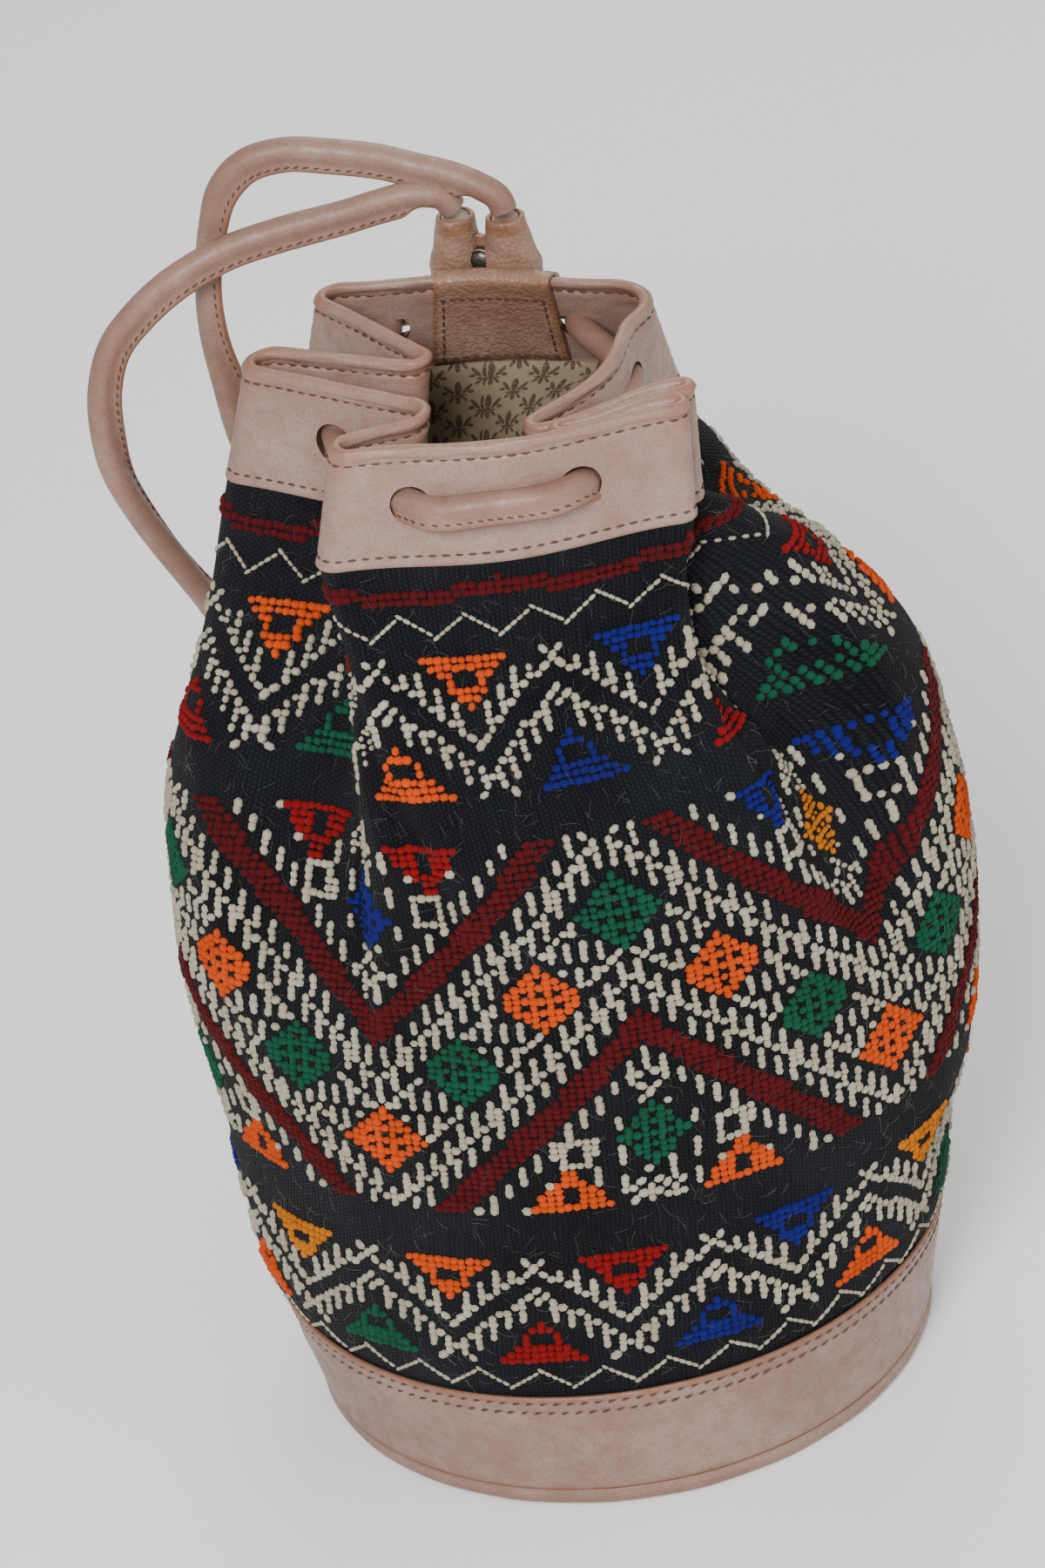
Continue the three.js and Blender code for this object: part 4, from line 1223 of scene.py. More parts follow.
@dataclass
class Studio:
    """The camera at the photograph's angle, a pale floor and soft light."""

    place: tuple[float, float, float] = (-0.0068, -1.6961, 1.3148)
    target: tuple[float, float, float] = (-0.0068, 0.0, 0.255)
    lens: float = 123.8
    roll: float = 9.2

    def camera(self) -> Object:
        """Makes the camera.

        Returns:
            The camera.
        """
        data = bpy.data.cameras.new("Camera")
        data.lens = self.lens
        data.clip_end = 20
        obj = bpy.data.objects.new("Camera", data)
        bpy.context.scene.collection.objects.link(obj)
        forward = (Vector(self.target) - Vector(self.place)).normalized()
        right = forward.cross(Vector((0, 0, 1))).normalized()
        up = right.cross(forward)
        turn = math.radians(self.roll)
        across = math.cos(turn) * right - math.sin(turn) * up
        upward = math.sin(turn) * right + math.cos(turn) * up
        turned = Matrix((across, upward, -forward)).transposed().to_4x4()
        obj.matrix_world = Matrix.Translation(Vector(self.place)) @ turned
        bpy.context.scene.camera = obj
        return obj

    def floor(self, material: Material) -> Object:
        """Makes the floor."""
        size = 6000.0
        corners = np.array([(-size, -size, 0), (size, -size, 0), (size, size, 0), (-size, size, 0)])
        obj = new_object("floor", corners, [[0, 1, 2, 3]], material)
        return obj

    def light(self, name: str, place: tuple[float, float, float], size: float, power: float) -> None:
        """Makes one soft light that faces the bag.

        Args:
            name: Its name.
            place: Where it stands, in metres.
            size: Its side.
            power: Its power in watts.
        """
        data = bpy.data.lights.new(name, "AREA")
        data.size = size
        data.energy = power
        obj = bpy.data.objects.new(name, data)
        bpy.context.scene.collection.objects.link(obj)
        obj.location = place
        obj.rotation_euler = (Vector((0, 0, 0.22)) - Vector(place)).to_track_quat("-Z", "Y").to_euler()

    def build(self, finishes: Finishes) -> None:
        """Makes the floor, the lights and the sky."""
        self.floor(finishes.pale_floor())
        self.light("Key", (-0.45, -1.75, 1.75), 0.7, 62)
        self.light("Fill", (1.5, -0.9, 1.2), 1.4, 10)
        self.light("Back", (0.3, 1.6, 1.6), 1.2, 16)
        world = bpy.data.worlds.new("Studio")
        world.use_nodes = True
        world.node_tree.nodes["Background"].inputs[0].default_value = (1, 1, 1, 1)
        world.node_tree.nodes["Background"].inputs[1].default_value = 0.62
        bpy.context.scene.world = world


@dataclass
class LeatherCord:
    """A round leather cord with the sewn edge of its cover along the underside."""

    name: str
    line: Array
    under: Array
    plain_start: float = 14.0
    plain_end: float = 14.0
    reach: float = FLANGE_REACH
    radius: float = CORD / 2

    def section(self, share: Array) -> tuple[Array, Array]:
        """Gives the section's points for each share of the full edge.

        Args:
            share: The shares, one a ring.

        Returns:
            Distances aside and down, by ring and point.
        """
        round_part = np.radians(np.linspace(30, 330, 17))
        aside, down = self.radius * np.sin(round_part), self.radius * np.cos(round_part)
        half = FLANGE_WALL / 2
        tip = self.reach
        edge = np.array([(-half, tip - 1.8), (-half, tip - 0.6), (-half * 0.4, tip), (half * 0.4, tip),
                         (half, tip - 0.6), (half, tip - 1.8)])
        plain_angles = np.radians(np.linspace(-26, 26, 6))
        plain = np.stack([self.radius * np.sin(plain_angles), self.radius * np.cos(plain_angles)], -1)
        mixed = plain[None] + (edge - plain)[None] * share[:, None, None]
        rings = len(share)
        a = np.concatenate([np.broadcast_to(aside, (rings, 17)), mixed[:, :, 0]], 1)
        d = np.concatenate([np.broadcast_to(down, (rings, 17)), mixed[:, :, 1]], 1)
        return a, d

    def build(self, material: Material, stitches: BeadPoints) -> Object:
        """Makes the cord and adds its stitches.

        Args:
            material: Its leather.
            stitches: Where the stitches' places go.

        Returns:
            The cord.
        """
        line = self.line
        along, down, side = line_frames(line, self.under)
        runs = runs_of(line)
        share = np.clip(np.minimum(runs - self.plain_start, runs[-1] - self.plain_end - runs) / 10, 0, 1)
        share = share * share * (3 - 2 * share)
        a, d = self.section(share)
        rng = np.random.default_rng(11)
        phase = rng.uniform(0, TAU, 3)
        swell = 1 + 0.012 * np.sin(runs / 9 + phase[0]) + 0.010 * np.sin(runs / 23 + phase[1])
        spread = side[:, None] * a[..., None] + down[:, None] * d[..., None]
        grid = line[:, None] + spread * swell[:, None, None]
        wear = np.clip((d - self.radius - 1) / 2.2, 0, 1) * 0.75
        obj = closed_piece(self.name, grid, material, wear, 70)
        count = int(runs[-1] / 4.3)
        spots = np.linspace(self.plain_start + 8, runs[-1] - self.plain_end - 8, count)
        at = [sample(values, runs, spots) for values in (line, along, down, side)]
        for way in (-1, 1):
            lies = at[0] + at[2] * (self.reach - 1.7) + way * at[3] * (FLANGE_WALL / 2 + 0.05)
            slanted = at[1] + at[2] * 0.25
            stitches.add(lies, slanted, at[3] * way, (1.35, 0.42, 0.42))
        return obj


def face_outward(obj: Object) -> None:
    """Turns a closed mesh's faces outwards."""
    mesh = obj.data
    mesh.calc_loop_triangles()
    corners = np.empty(len(mesh.vertices) * 3)
    mesh.vertices.foreach_get("co", corners)
    corners = corners.reshape(-1, 3)
    tris = np.empty(len(mesh.loop_triangles) * 3, dtype=np.int32)
    mesh.loop_triangles.foreach_get("vertices", tris)
    a, b, c = (corners[tris.reshape(-1, 3)[:, k]] for k in range(3))
    if np.einsum("ij,ij->i", a, np.cross(b, c)).sum() < 0:
        mesh.flip_normals()


def hole_spots(mouth: Mouth) -> list[tuple[Array, Array, bool]]:
    """Finds the cord holes' centres.

    Args:
        mouth: The mouth's plan.

    Returns:
        For each its centre, its outward direction and whether the cord runs outside to the next.
    """
    spots = []
    for after, share, outside in HOLES:
        spot, outward, dip = mouth.at(mouth.panel(after, share), 0.5)
        spots.append((np.array([spot[0], spot[1], HOLE_Z - dip]), outward, outside))
    return spots


def tunnel_axis(mouth: Mouth, side: int) -> tuple[Array, Array]:
    """Gives a tunnel's axis behind the rim.

    Args:
        mouth: The mouth's plan.
        side: -1 on the left and 1 on the right.

    Returns:
        Its foot and its top.
    """
    behind = COLLAR_WALL / 2 + 2 * GAP + KEEPER_WALL / 2 + TUNNEL_RADIUS * 1.1
    turn = -KEEPER_ASIDE / mouth.length

    def point(share: float, spacing: float, z: float) -> Array:
        """Gives one end."""
        spot, outward, _ = mouth.at(turn % 1.0, share)
        across = np.array([-outward[1], outward[0], 0.0])
        aside = across * (TUNNEL_SHIFT - side * spacing / 2)
        return np.array([spot[0], spot[1], z]) + outward * behind + aside

    foot = point(1 - TUNNEL_DROP / COLLAR_HEIGHT, TUNNEL_APART + TUNNEL_SPREAD, RIM_Z - TUNNEL_DROP)
    return foot, point(1, TUNNEL_APART, RIM_Z + TUNNEL_RISE)


def drawcord_line(mouth: Mouth) -> Array:
    """Gives the cord's route through the twelve holes and the two tunnels."""
    clear = COLLAR_WALL / 2 + CORD / 2 + GAP
    spots = hole_spots(mouth)

    def tunnel_run(side: int, centre: Array, outward: Array) -> list[Array]:
        """Gives the run through a tunnel."""
        foot, top = tunnel_axis(mouth, side)
        upper = top + (foot - top) * GAP / (TUNNEL_RISE + TUNNEL_DROP)
        lower = foot - np.array([0, 0, CORD / 2])
        behind = centre + outward * clear * 1.25
        return [upper, (upper + foot) / 2, foot, lower + (behind - lower) * 0.35, behind]

    route = tunnel_run(-1, *spots[0][:2])
    for (centre, outward, outside), after in zip(spots, spots[1:] + [None]):
        route.append(centre)
        if after is not None and float(outward @ after[1]) > 0.9:
            way = clear if outside else -clear
            for share in (0.16, 0.5, 0.84):
                point = centre + (after[0] - centre) * share
                route.append(point + outward * way * (1.12 if share == 0.5 else 1))
    route += tunnel_run(1, *spots[-1][:2])[::-1]
    return smooth_line(np.array(route), 1.6)


@dataclass
class Cords:
    """The drawcord and the two straps, which are the same leather cord."""

    mouth: Mouth
    finishes: Finishes
    stitches: BeadPoints = field(default_factory=BeadPoints)

    def build(self) -> list[Object]:
        """Returns:
            The cords.
        """
        leather = self.finishes.leather_of(CORD_LEATHER)
        route = drawcord_line(self.mouth)
        under = route - np.array([MOUTH_X, MOUTH_Y, 0.0])
        under[:, 2] = -70.0
        draw = LeatherCord("leather_drawcord", route, under, 34, 34, 7.5)
        made = [fit(draw.build(leather, self.stitches), "cord_leather", "drawcord")]
        for side, route, side_lean in (("left", STRAP_LEFT, 0.6), ("right", STRAP_RIGHT, 0.5)):
            line = smooth_line(np.array(route) / MM, 1.8)
            high = np.clip((line[:, 2] - 350) / 80, 0, 1)
            under = np.stack([side_lean - 0.4 * high, 0.3 - 0.8 * high, np.full(len(line), -1.0)], -1)
            strap = LeatherCord("shoulder_strap_" + side, line, under).build(leather, self.stitches)
            fit(strap, "cord_leather", "strap_" + side)
            made.append(strap)
        return made


@dataclass
class KilimTube:
    """The pleated wool tube with its knotted pattern and loose fibres."""

    mouth: Mouth
    finishes: Finishes
    rows: int = 140
    inner_rows: int = 14
    around: float = 789.0
    up: float = 345.0
    cell_columns: int = 264
    cell_rows: int = 128
    outer: Array = field(init=False)
    outward: Array = field(init=False)
    rises: Array = field(init=False)

    def middle(self, rises: Array) -> Array:
        """Gives the wall's middle surface.

        Args:
            rises: The rows' shares of the way up.

        Returns:
            The grid.
        """
        foot, first = tucked_ring(self.mouth, BAND_TOP, 0), body_ring(self.mouth, 0.03)
        grid = []
        for rise in rises:
            if rise >= 0.03:
                grid.append(body_ring(self.mouth, float(rise)))
                continue
            share = max(rise, 0) / 0.03
            bulge = math.sin(share * math.pi / 2)
            ring = foot + (first - foot) * np.array([bulge, bulge, share])
            grid.append(ring)
        return np.array(grid)

    def creased(self, grid: Array, out: Array, rises: Array) -> Array:
        """Adds the photograph's creases and slow unevenness to the surface."""
        turns = self.mouth.turns
        u, v = np.meshgrid(turns, rises)
        move = 0.55 * waves(u, v, 3, 9) + 0.28 * waves(u, v, 5, 26)
        for turn_a, rise_a, turn_b, rise_b, depth, width in CREASES:
            a, b = np.array([turn_a, rise_a * 0.44]), np.array([turn_b, rise_b * 0.44])
            point = np.stack([u, v * 0.44], -1) - a
            share = np.clip((point @ (b - a)) / ((b - a) @ (b - a)), 0, 1)
            away = np.linalg.norm(point - share[..., None] * (b - a), axis=-1)
            fade = np.sin(np.clip(share, 0.02, 0.98) * math.pi) ** 0.5
            ridge = 0.55 * np.exp(-((away / width / 2.2) ** 2)) - np.exp(-((away / width) ** 2))
            move += depth * fade * ridge
        move += 9.0 * np.exp(-(((u - 0.885) / 0.060) ** 2) - ((v - 0.91) / 0.055) ** 2)
        fade = np.clip(rises / 0.04, 0, 1) * np.clip((1 - rises) / 0.04, 0, 1)
        return grid + out * (move * fade[:, None])[..., None]

    def build(self) -> Object:
        """Makes the tube.

        Returns:
            The piece.
        """
        self.rises = np.linspace(0, 1, self.rows)
        middle = self.middle(self.rises)
        normals = normals_of(middle)
        middle = self.creased(middle, normals, self.rises)
        normals = normals_of(middle)
        self.outer, self.outward = middle + normals * KILIM_WALL / 2, normals
        inner_rises = np.linspace(1, 0, self.inner_rows)
        inner_middle = self.middle(inner_rises)
        inner = inner_middle + normals_of(inner_middle) * KILIM_WALL / 2
        tuck = [tucked_ring(self.mouth, z, pull) for z, pull in ((KILIM_FOOT, GAP), (BAND_TOP - 3, 0.1))]
        grown = [offset_plan(ring, KILIM_WALL / 2) for ring in tuck]
        shrunk = [offset_plan(ring, -KILIM_WALL / 2) for ring in tuck]
        grid = np.concatenate([np.array(grown), self.outer, inner, np.array(shrunk[::-1])])
        rise_rows = np.concatenate([[-0.035, -0.008], self.rises, inner_rises, [-0.008, -0.035]])
        across = np.append(self.mouth.turns, 1.0) * self.around * MM
        body = grid_object(
            "kilim_tube", grid, self.finishes.wool_ground(), wrap_rows=True, smooth=80,
            uv=(across, rise_rows * self.up * MM),
        )
        fit(body, "kilim_wool", "kilim_body")
        return body

    def surface(self, turns: Array, rises: Array) -> tuple[Array, ...]:
        """Finds points of the outer skin.

        Args:
            turns: Shares of the way round.
            rises: Shares of the way up.

        Returns:
            The points, the outward directions and the directions across.
        """
        columns = self.outer.shape[1]
        c = (turns % 1.0) * columns
        r = np.clip(rises, 0, 1) * (self.rows - 1)
        c0, r0 = np.floor(c).astype(int), np.minimum(np.floor(r).astype(int), self.rows - 2)
        fc, fr = (c - c0)[:, None], (r - r0)[:, None]
        c0, c1 = c0 % columns, (c0 + 1) % columns
        values = []
        for grid in (self.outer, self.outward):
            low = grid[r0, c0] * (1 - fc) + grid[r0, c1] * fc
            high = grid[r0 + 1, c0] * (1 - fc) + grid[r0 + 1, c1] * fc
            values.append(low * (1 - fr) + high * fr)
        across = self.outer[r0, c1] - self.outer[r0, c0]
        return values[0], values[1], across

    def knots(self, group: NodeTree) -> list[Object]:
        """Makes the raised knots of the pattern, one piece a colour and the white in two.

        Args:
            group: The node group that makes beads on points.

        Returns:
            The pieces.
        """
        chart = Chart(self.cell_columns, self.cell_rows).draw()
        made = []
        rng = np.random.default_rng(21)
        for wool in Wool:
            if wool is Wool.NONE:
                continue
            filled = chart == wool.value
            level = filled & (np.roll(filled, 1, 1) | np.roll(filled, -1, 1))
            rising = filled & (np.roll(filled, (1, 1), (0, 1)) | np.roll(filled, (-1, -1), (0, 1)))
            falling = filled & (np.roll(filled, (1, -1), (0, 1)) | np.roll(filled, (-1, 1), (0, 1)))
            upright = filled & (np.roll(filled, 1, 0) | np.roll(filled, -1, 0))
            slant = np.select([level, upright, rising, falling], [0, 90, 42, -42], 0)
            rows, columns = np.nonzero(filled)
            if not len(rows):
                continue
            turns = (columns + 0.5 + rng.uniform(-0.10, 0.10, len(rows))) / self.cell_columns
            rises = (rows + 0.5 + rng.uniform(-0.12, 0.12, len(rows))) / self.cell_rows
            spots, outward, across = self.surface(turns, rises)
            width = np.linalg.norm(across, axis=1) * self.outer.shape[1] / self.cell_columns
            across = unit(across)
            angle = np.radians(slant[rows, columns] + rng.uniform(-20, 20, len(rows)))[:, None]
            along = across * np.cos(angle) + np.cross(outward, across) * np.sin(angle)
            tilted = np.abs(slant[rows, columns]) == 42
            fat = np.clip(width / 3.0, 0.55, 1.15)
            sizes = np.stack([
                np.where(tilted, 2.3, 1.9) * fat, np.full(len(rows), 1.56) * fat, np.full(len(rows), 1.25),
            ], -1) * rng.uniform(0.9, 1.12, (len(rows), 1))
            middle = self.cell_rows // 2
            halves = (rows < middle, rows >= middle) if wool is Wool.WHITE else (rows >= 0,)
            for part, chosen in enumerate(halves):
                beads = BeadPoints()
                beads.add((spots + outward * 0.2)[chosen], along[chosen], outward[chosen], sizes[chosen])
                if wool is Wool.WHITE:
                    beads.add(*self.zigzag_line(ZIGZAG_FEET[part]), (1.65, 0.8, 0.85))
                name = "knots_" + wool.name.lower() + ("_%d" % part if len(halves) > 1 else "")
                made.append(fit(beads.build(name, group, self.finishes.yarn_of(wool)), "kilim_wool"))
        return made

    def zigzag_line(self, foot: float) -> tuple[Array, Array, Array]:
        """Gives places along a thin zigzag line.

        Args:
            foot: The chart's row at its low points.

        Returns:
            The spots, the directions along the line and the directions outward.
        """
        def at(columns: Array) -> tuple[Array, ...]:
            """Gives points of the line."""
            level = foot + np.abs(columns % 8 - 4) * 0.75
            return self.surface(columns / self.cell_columns, level / self.cell_rows)

        columns = np.arange(0, self.cell_columns, 0.8)
        spots, outward, _ = at(columns)
        return spots, at(columns + 0.4)[0] - spots, outward

    def fibres(self, count: int = 4800) -> Object:
        """Makes the loose fibres that stand off the wool.

        Args:
            count: How many.

        Returns:
            The piece.
        """
        rng = np.random.default_rng(33)
        turns, rises = rng.uniform(0, 1, count), rng.uniform(0.01, 0.985, count)
        spots, outward, across = self.surface(turns, rises)
        across = unit(across)
        upward = np.cross(outward, across)
        angle = rng.uniform(0, TAU, count)[:, None]
        flat = across * np.cos(angle) + upward * np.sin(angle)
        other = np.cross(outward, flat)
        length = rng.uniform(2.5, 7.5, count)[:, None]
        bend = rng.uniform(-0.5, 0.5, count)[:, None]
        lift = rng.uniform(0.1, 0.34, count)[:, None]
        steps = np.linspace(0, 1, 4)
        points = np.stack([
            spots + flat * length * s + outward * (lift * length * math.sin(s * 2.4))
            + other * bend * length * s * s
            for s in steps
        ], 1)
        thin = np.array([0.055, 0.05, 0.04, 0.012])
        angles = np.arange(3) * TAU / 3
        ring = outward[:, None, None] * np.cos(angles)[None, None, :, None]
        ring = ring + other[:, None, None] * np.sin(angles)[None, None, :, None]
        verts = points[:, :, None] + ring * thin[None, :, None, None]
        faces = np.concatenate([grid_faces(4, 3, False, True, 12 * i) for i in range(count)]).tolist()
        return fit(new_object("wool_fibres", verts.reshape(-1, 3), faces, self.finishes.fibre()), "kilim_wool")


def offset_plan(ring: Array, distance: float) -> Array:
    """Moves a ring outwards in its own plan."""
    along = np.roll(ring, -1, 0) - np.roll(ring, 1, 0)
    return ring + unit(np.stack([along[:, 1], -along[:, 0], np.zeros(len(ring))], -1)) * distance


@dataclass
class Chart:
    """The kilim's pattern in knots, worked out by rule."""

    columns: int
    rows: int
    axis: int = 136
    period: int = 66
    slope: float = 0.88
    panel: tuple[int, int] = (32, 90)

    def draw(self) -> Array:
        """Draws the whole chart.

        Returns:
            A colour's number for each row and column.
        """
        chart = np.zeros((self.rows, self.columns), dtype=int)
        for row in range(self.rows):
            for column in range(self.columns):
                chart[row, column] = self.colour(column, row).value
        return chart

    def colour(self, column: int, row: int) -> Wool:
        """Finds a knot's colour.

        Args:
            column: Its column.
            row: Its row from the band up.

        Returns:
            The colour, or none for plain ground.
        """
        low, high = self.panel
        if low <= row <= high:
            return self.main_panel(column, row)
        if 97 <= row <= 114:
            return self.border(column - 126, row - 97, (Wool.ORANGE, Wool.BLUE, Wool.ORANGE, Wool.RED),
                               (Wool.BLUE, Wool.RED, Wool.GREEN, Wool.ORANGE))
        if 6 <= row <= 23:
            return self.border(column - 131, row - 6, (Wool.RED, Wool.BLUE, Wool.GOLD, Wool.ORANGE),
                               (Wool.BLUE, Wool.ORANGE, Wool.GREEN, Wool.RED))
        if 122 <= row <= 125:
            level = abs(column % 22 - 11) / 11 * 2
            return Wool.DARK_RED if abs(row - 122 - level) <= 1.05 else Wool.NONE
        return Wool.NONE

    def border(self, column: int, row: int, down: tuple[Wool, ...], up: tuple[Wool, ...]) -> Wool:
        """Draws a border: triangles nested in a double zigzag with combs.

        Args:
            column: Columns from a low point of the zigzag.
            row: Rows from the border's foot.
            down: Colours of the triangles that point down.
            up: Colours of those that point up.

        Returns:
            The colour.
        """
        period = 22
        half = period // 2
        edge = abs((column + half) % period - half)
        top = half - edge
        high, low = 6.3 + 0.9 * edge, 2.2 + 0.9 * edge
        if abs(row - high) < 0.5 or abs(row - low) < 0.5:
            return Wool.WHITE
        if edge <= 2 and abs(row - (2.2 - 0.9 * edge)) < 0.5:
            return Wool.WHITE
        if top <= 2 and abs(row - (16.2 + 0.9 * top)) < 0.5:
            return Wool.WHITE
        if top <= 1 and abs(row - 10.2 - top) < 0.6:
            return Wool.WHITE
        rise = row - 10
        if rise > 0 and edge < rise * 0.74:
            hollow = edge < 1.4 and 3 < rise < 6
            return Wool.NONE if hollow else down[((column + half) // period) % 4]
        drop = 7 - row
        if drop > 0 and top < drop * 0.74:
            hollow = top < 1.2 and 2 < drop < 5
            return Wool.NONE if hollow else up[(column // period) % 4]
        if 0.5 <= row - high < 3.4 and column % 2 == 0 and edge > 1 and row < 16:
            return Wool.WHITE
        if 0.5 <= low - row < 3.4 and column % 2 == 1 and top > 1 and row > 0:
            return Wool.WHITE
        return Wool.NONE

    def main_panel(self, column: int, row: int) -> Wool:
        """Draws the chevrons and fills the spaces inside and between them."""
        half = self.period / 2
        level = row - sum(self.panel) / 2
        x = (column - self.axis + half) % self.period - half
        other = (column - self.axis) % self.period - half
        gap = level + abs(x) / self.slope
        under = half / self.slope - gap
        if abs(gap) < 2.4 or abs(under) < 2.4:
            return Wool.DARK_RED
        repeat = ((column - self.axis) // int(half)) // 2
        if gap < 0:
            return self.inside(x, -level, -gap, column, (Wool.GREEN, Wool.ORANGE))
        if under < 0:
            hues = (Wool.BLUE, Wool.RED) if repeat % 2 else (Wool.GOLD, Wool.BLUE)
            return self.inside(other, level, -under, column, hues)
        return self.between(abs(x), level, min(gap, under), column, row)

    def diamond(self, x: float, y: float, hue: Wool) -> Optional[Wool]:
        """Draws a diamond with an open weave and a white edge.

        Args:
            x: Columns from its middle.
            y: Rows from its middle.
            hue: Its colour.

        Returns:
            The colour, or nothing outside it.
        """
        away = abs(x) / 5.1 + abs(y) / 5.6
        if away < 1:
            odd = (int(abs(x) + 0.5) + int(abs(y) + 0.5)) % 2 == 1 and int(abs(y) + 0.5) % 2 == 1
            return Wool.NONE if odd and away < 0.72 else hue
        return Wool.NONE if away < 1.2 else None

    def inside(self, x: float, y: float, depth: float, column: int, hues: tuple[Wool, Wool]) -> Wool:
        """Fills the space between a chevron's arms.

        Args:
            x: Columns from its axis.
            y: Rows from its point.
            depth: Rows from the arm.
            column: The knot's column.
            hues: The diamond's and the triangles' colours.

        Returns:
            The colour.
        """
        side = abs(x)
        small = side / 2.4 + abs(y - 9) / 2.6
        if small < 1.15:
            return Wool.WHITE if small > 0.45 else Wool.NONE
        drawn = self.diamond(x * 1.15, y - 18, hues[0])
        if drawn is not None:
            return drawn
        up = 29.5 - y
        beside = abs(side - 10.5)
        if beside < (7.2 - up) * 0.78:
            return Wool.NONE if beside < 1 and 1 < up < 4 else hues[1]
        square = max(abs(side - 9.5) / 2.2, abs(y - 20) / 2.2)
        if square < 1.05:
            return Wool.WHITE if square > 0.5 else Wool.NONE
        if 3.6 <= depth < 6.4 and column % 2 == 0:
            return Wool.WHITE
        if depth >= 8 and (depth % 5) < 3 and column % 3 == 0:
            return Wool.WHITE
        if up < 4 and side < 4 and (column + int(y)) % 2 == 0:
            return Wool.WHITE
        return Wool.NONE

    def between(self, across: float, level: float, gap: float, column: int, row: int) -> Wool:
        """Fills the zigzag space between chevrons with combs, rungs and a chain of diamonds.

        Args:
            across: Columns from the nearest axis.
            level: Rows from the panel's middle.
            gap: Rows from the nearest arm.
            column: The knot's column.
            row: Its row.

        Returns:
            The colour.
        """
        for middle, height, hue in CHAIN:
            drawn = self.diamond(across - middle, level - height, hue)
            if drawn is not None:
                return drawn
        if 3.8 <= gap < 6.6:
            return Wool.WHITE if column % 2 == 0 else Wool.NONE
        if 7.4 <= gap < 8.5:
            return Wool.WHITE
        if 8.5 <= gap < 11.4:
            return Wool.WHITE if column % 2 == 1 else Wool.NONE
        if 13.0 <= gap < 14.1:
            return Wool.WHITE
        if gap >= 14.1:
            return Wool.WHITE if (column + row // 4) % 2 and row % 4 else Wool.NONE
        return Wool.NONE


@dataclass
class Lining:
    """The thin printed bag inside."""

    mouth: Mouth
    finishes: Finishes

    def rings(self, pull: float) -> list[Array]:
        """Gives the rings of one skin from the bottom up.

        Args:
            pull: How far it stands inside the outer skin.

        Returns:
            The rings.
        """
        turns = self.mouth.turns
        clear = SOLE_LIP_WALL + 3 * GAP + pull
        rise = 3.0 + GAP + pull
        rings = [
            oval_ring(SOLE_WIDTH - 2 * (clear + 3), SOLE_DEPTH - 2 * (clear + 3), rise, turns),
            oval_ring(SOLE_WIDTH - 2 * clear, SOLE_DEPTH - 2 * clear, rise + 3, turns),
        ]
        outside = KILIM_WALL / 2 + GAP + pull
        rings.append(offset_plan(tucked_ring(self.mouth, KILIM_FOOT, GAP), -outside))
        rings.append(offset_plan(tucked_ring(self.mouth, BAND_TOP, 0), -outside))
        for level in np.linspace(0.03, 1.0, 30):
            ease = float(np.interp(level, *LINING_SLACK))
            slack = 0.9 * waves(turns, np.full_like(turns, level), 9, 14) * min(1, ease)
            ring = offset_plan(body_ring(self.mouth, float(level)), -outside - ease * LINING_EASE)
            shifted = offset_plan(ring, -1.0) - ring
            rings.append(ring + shifted * np.abs(slack)[:, None])
        rings.append(offset_plan(self.rim(0.05), -COLLAR_WALL / 2 - GAP - pull))
        return rings

    def rim(self, share: float) -> Array:
        """Gives the collar's middle line at a share of its height."""
        plan = self.mouth.collar(share)
        z = COLLAR_FOOT + share * COLLAR_HEIGHT - self.mouth.values["dip"] * COLLAR_HEIGHT
        return np.concatenate([plan, z[:, None]], -1)

    def build(self) -> Object:
        """Makes the lining.

        Returns:
            The piece.
        """
        outer, inner = self.rings(0), self.rings(LINING_WALL)
        grid = np.array(outer + inner[::-1])
        steps = [np.linalg.norm(b - a, axis=1).mean() for a, b in zip(inner, inner[1:])]
        half = np.concatenate([[0], np.cumsum(steps)])
        up = np.concatenate([half, half[::-1]]) * MM
        across = np.append(self.mouth.turns, 1.0) * self.mouth.length * MM
        piece = grid_object("lining_bag", grid, self.finishes.lining_cloth(), caps=True, smooth=80,
                            uv=(across, up))
        fit(piece, "lining_cotton", "lining")
        return piece


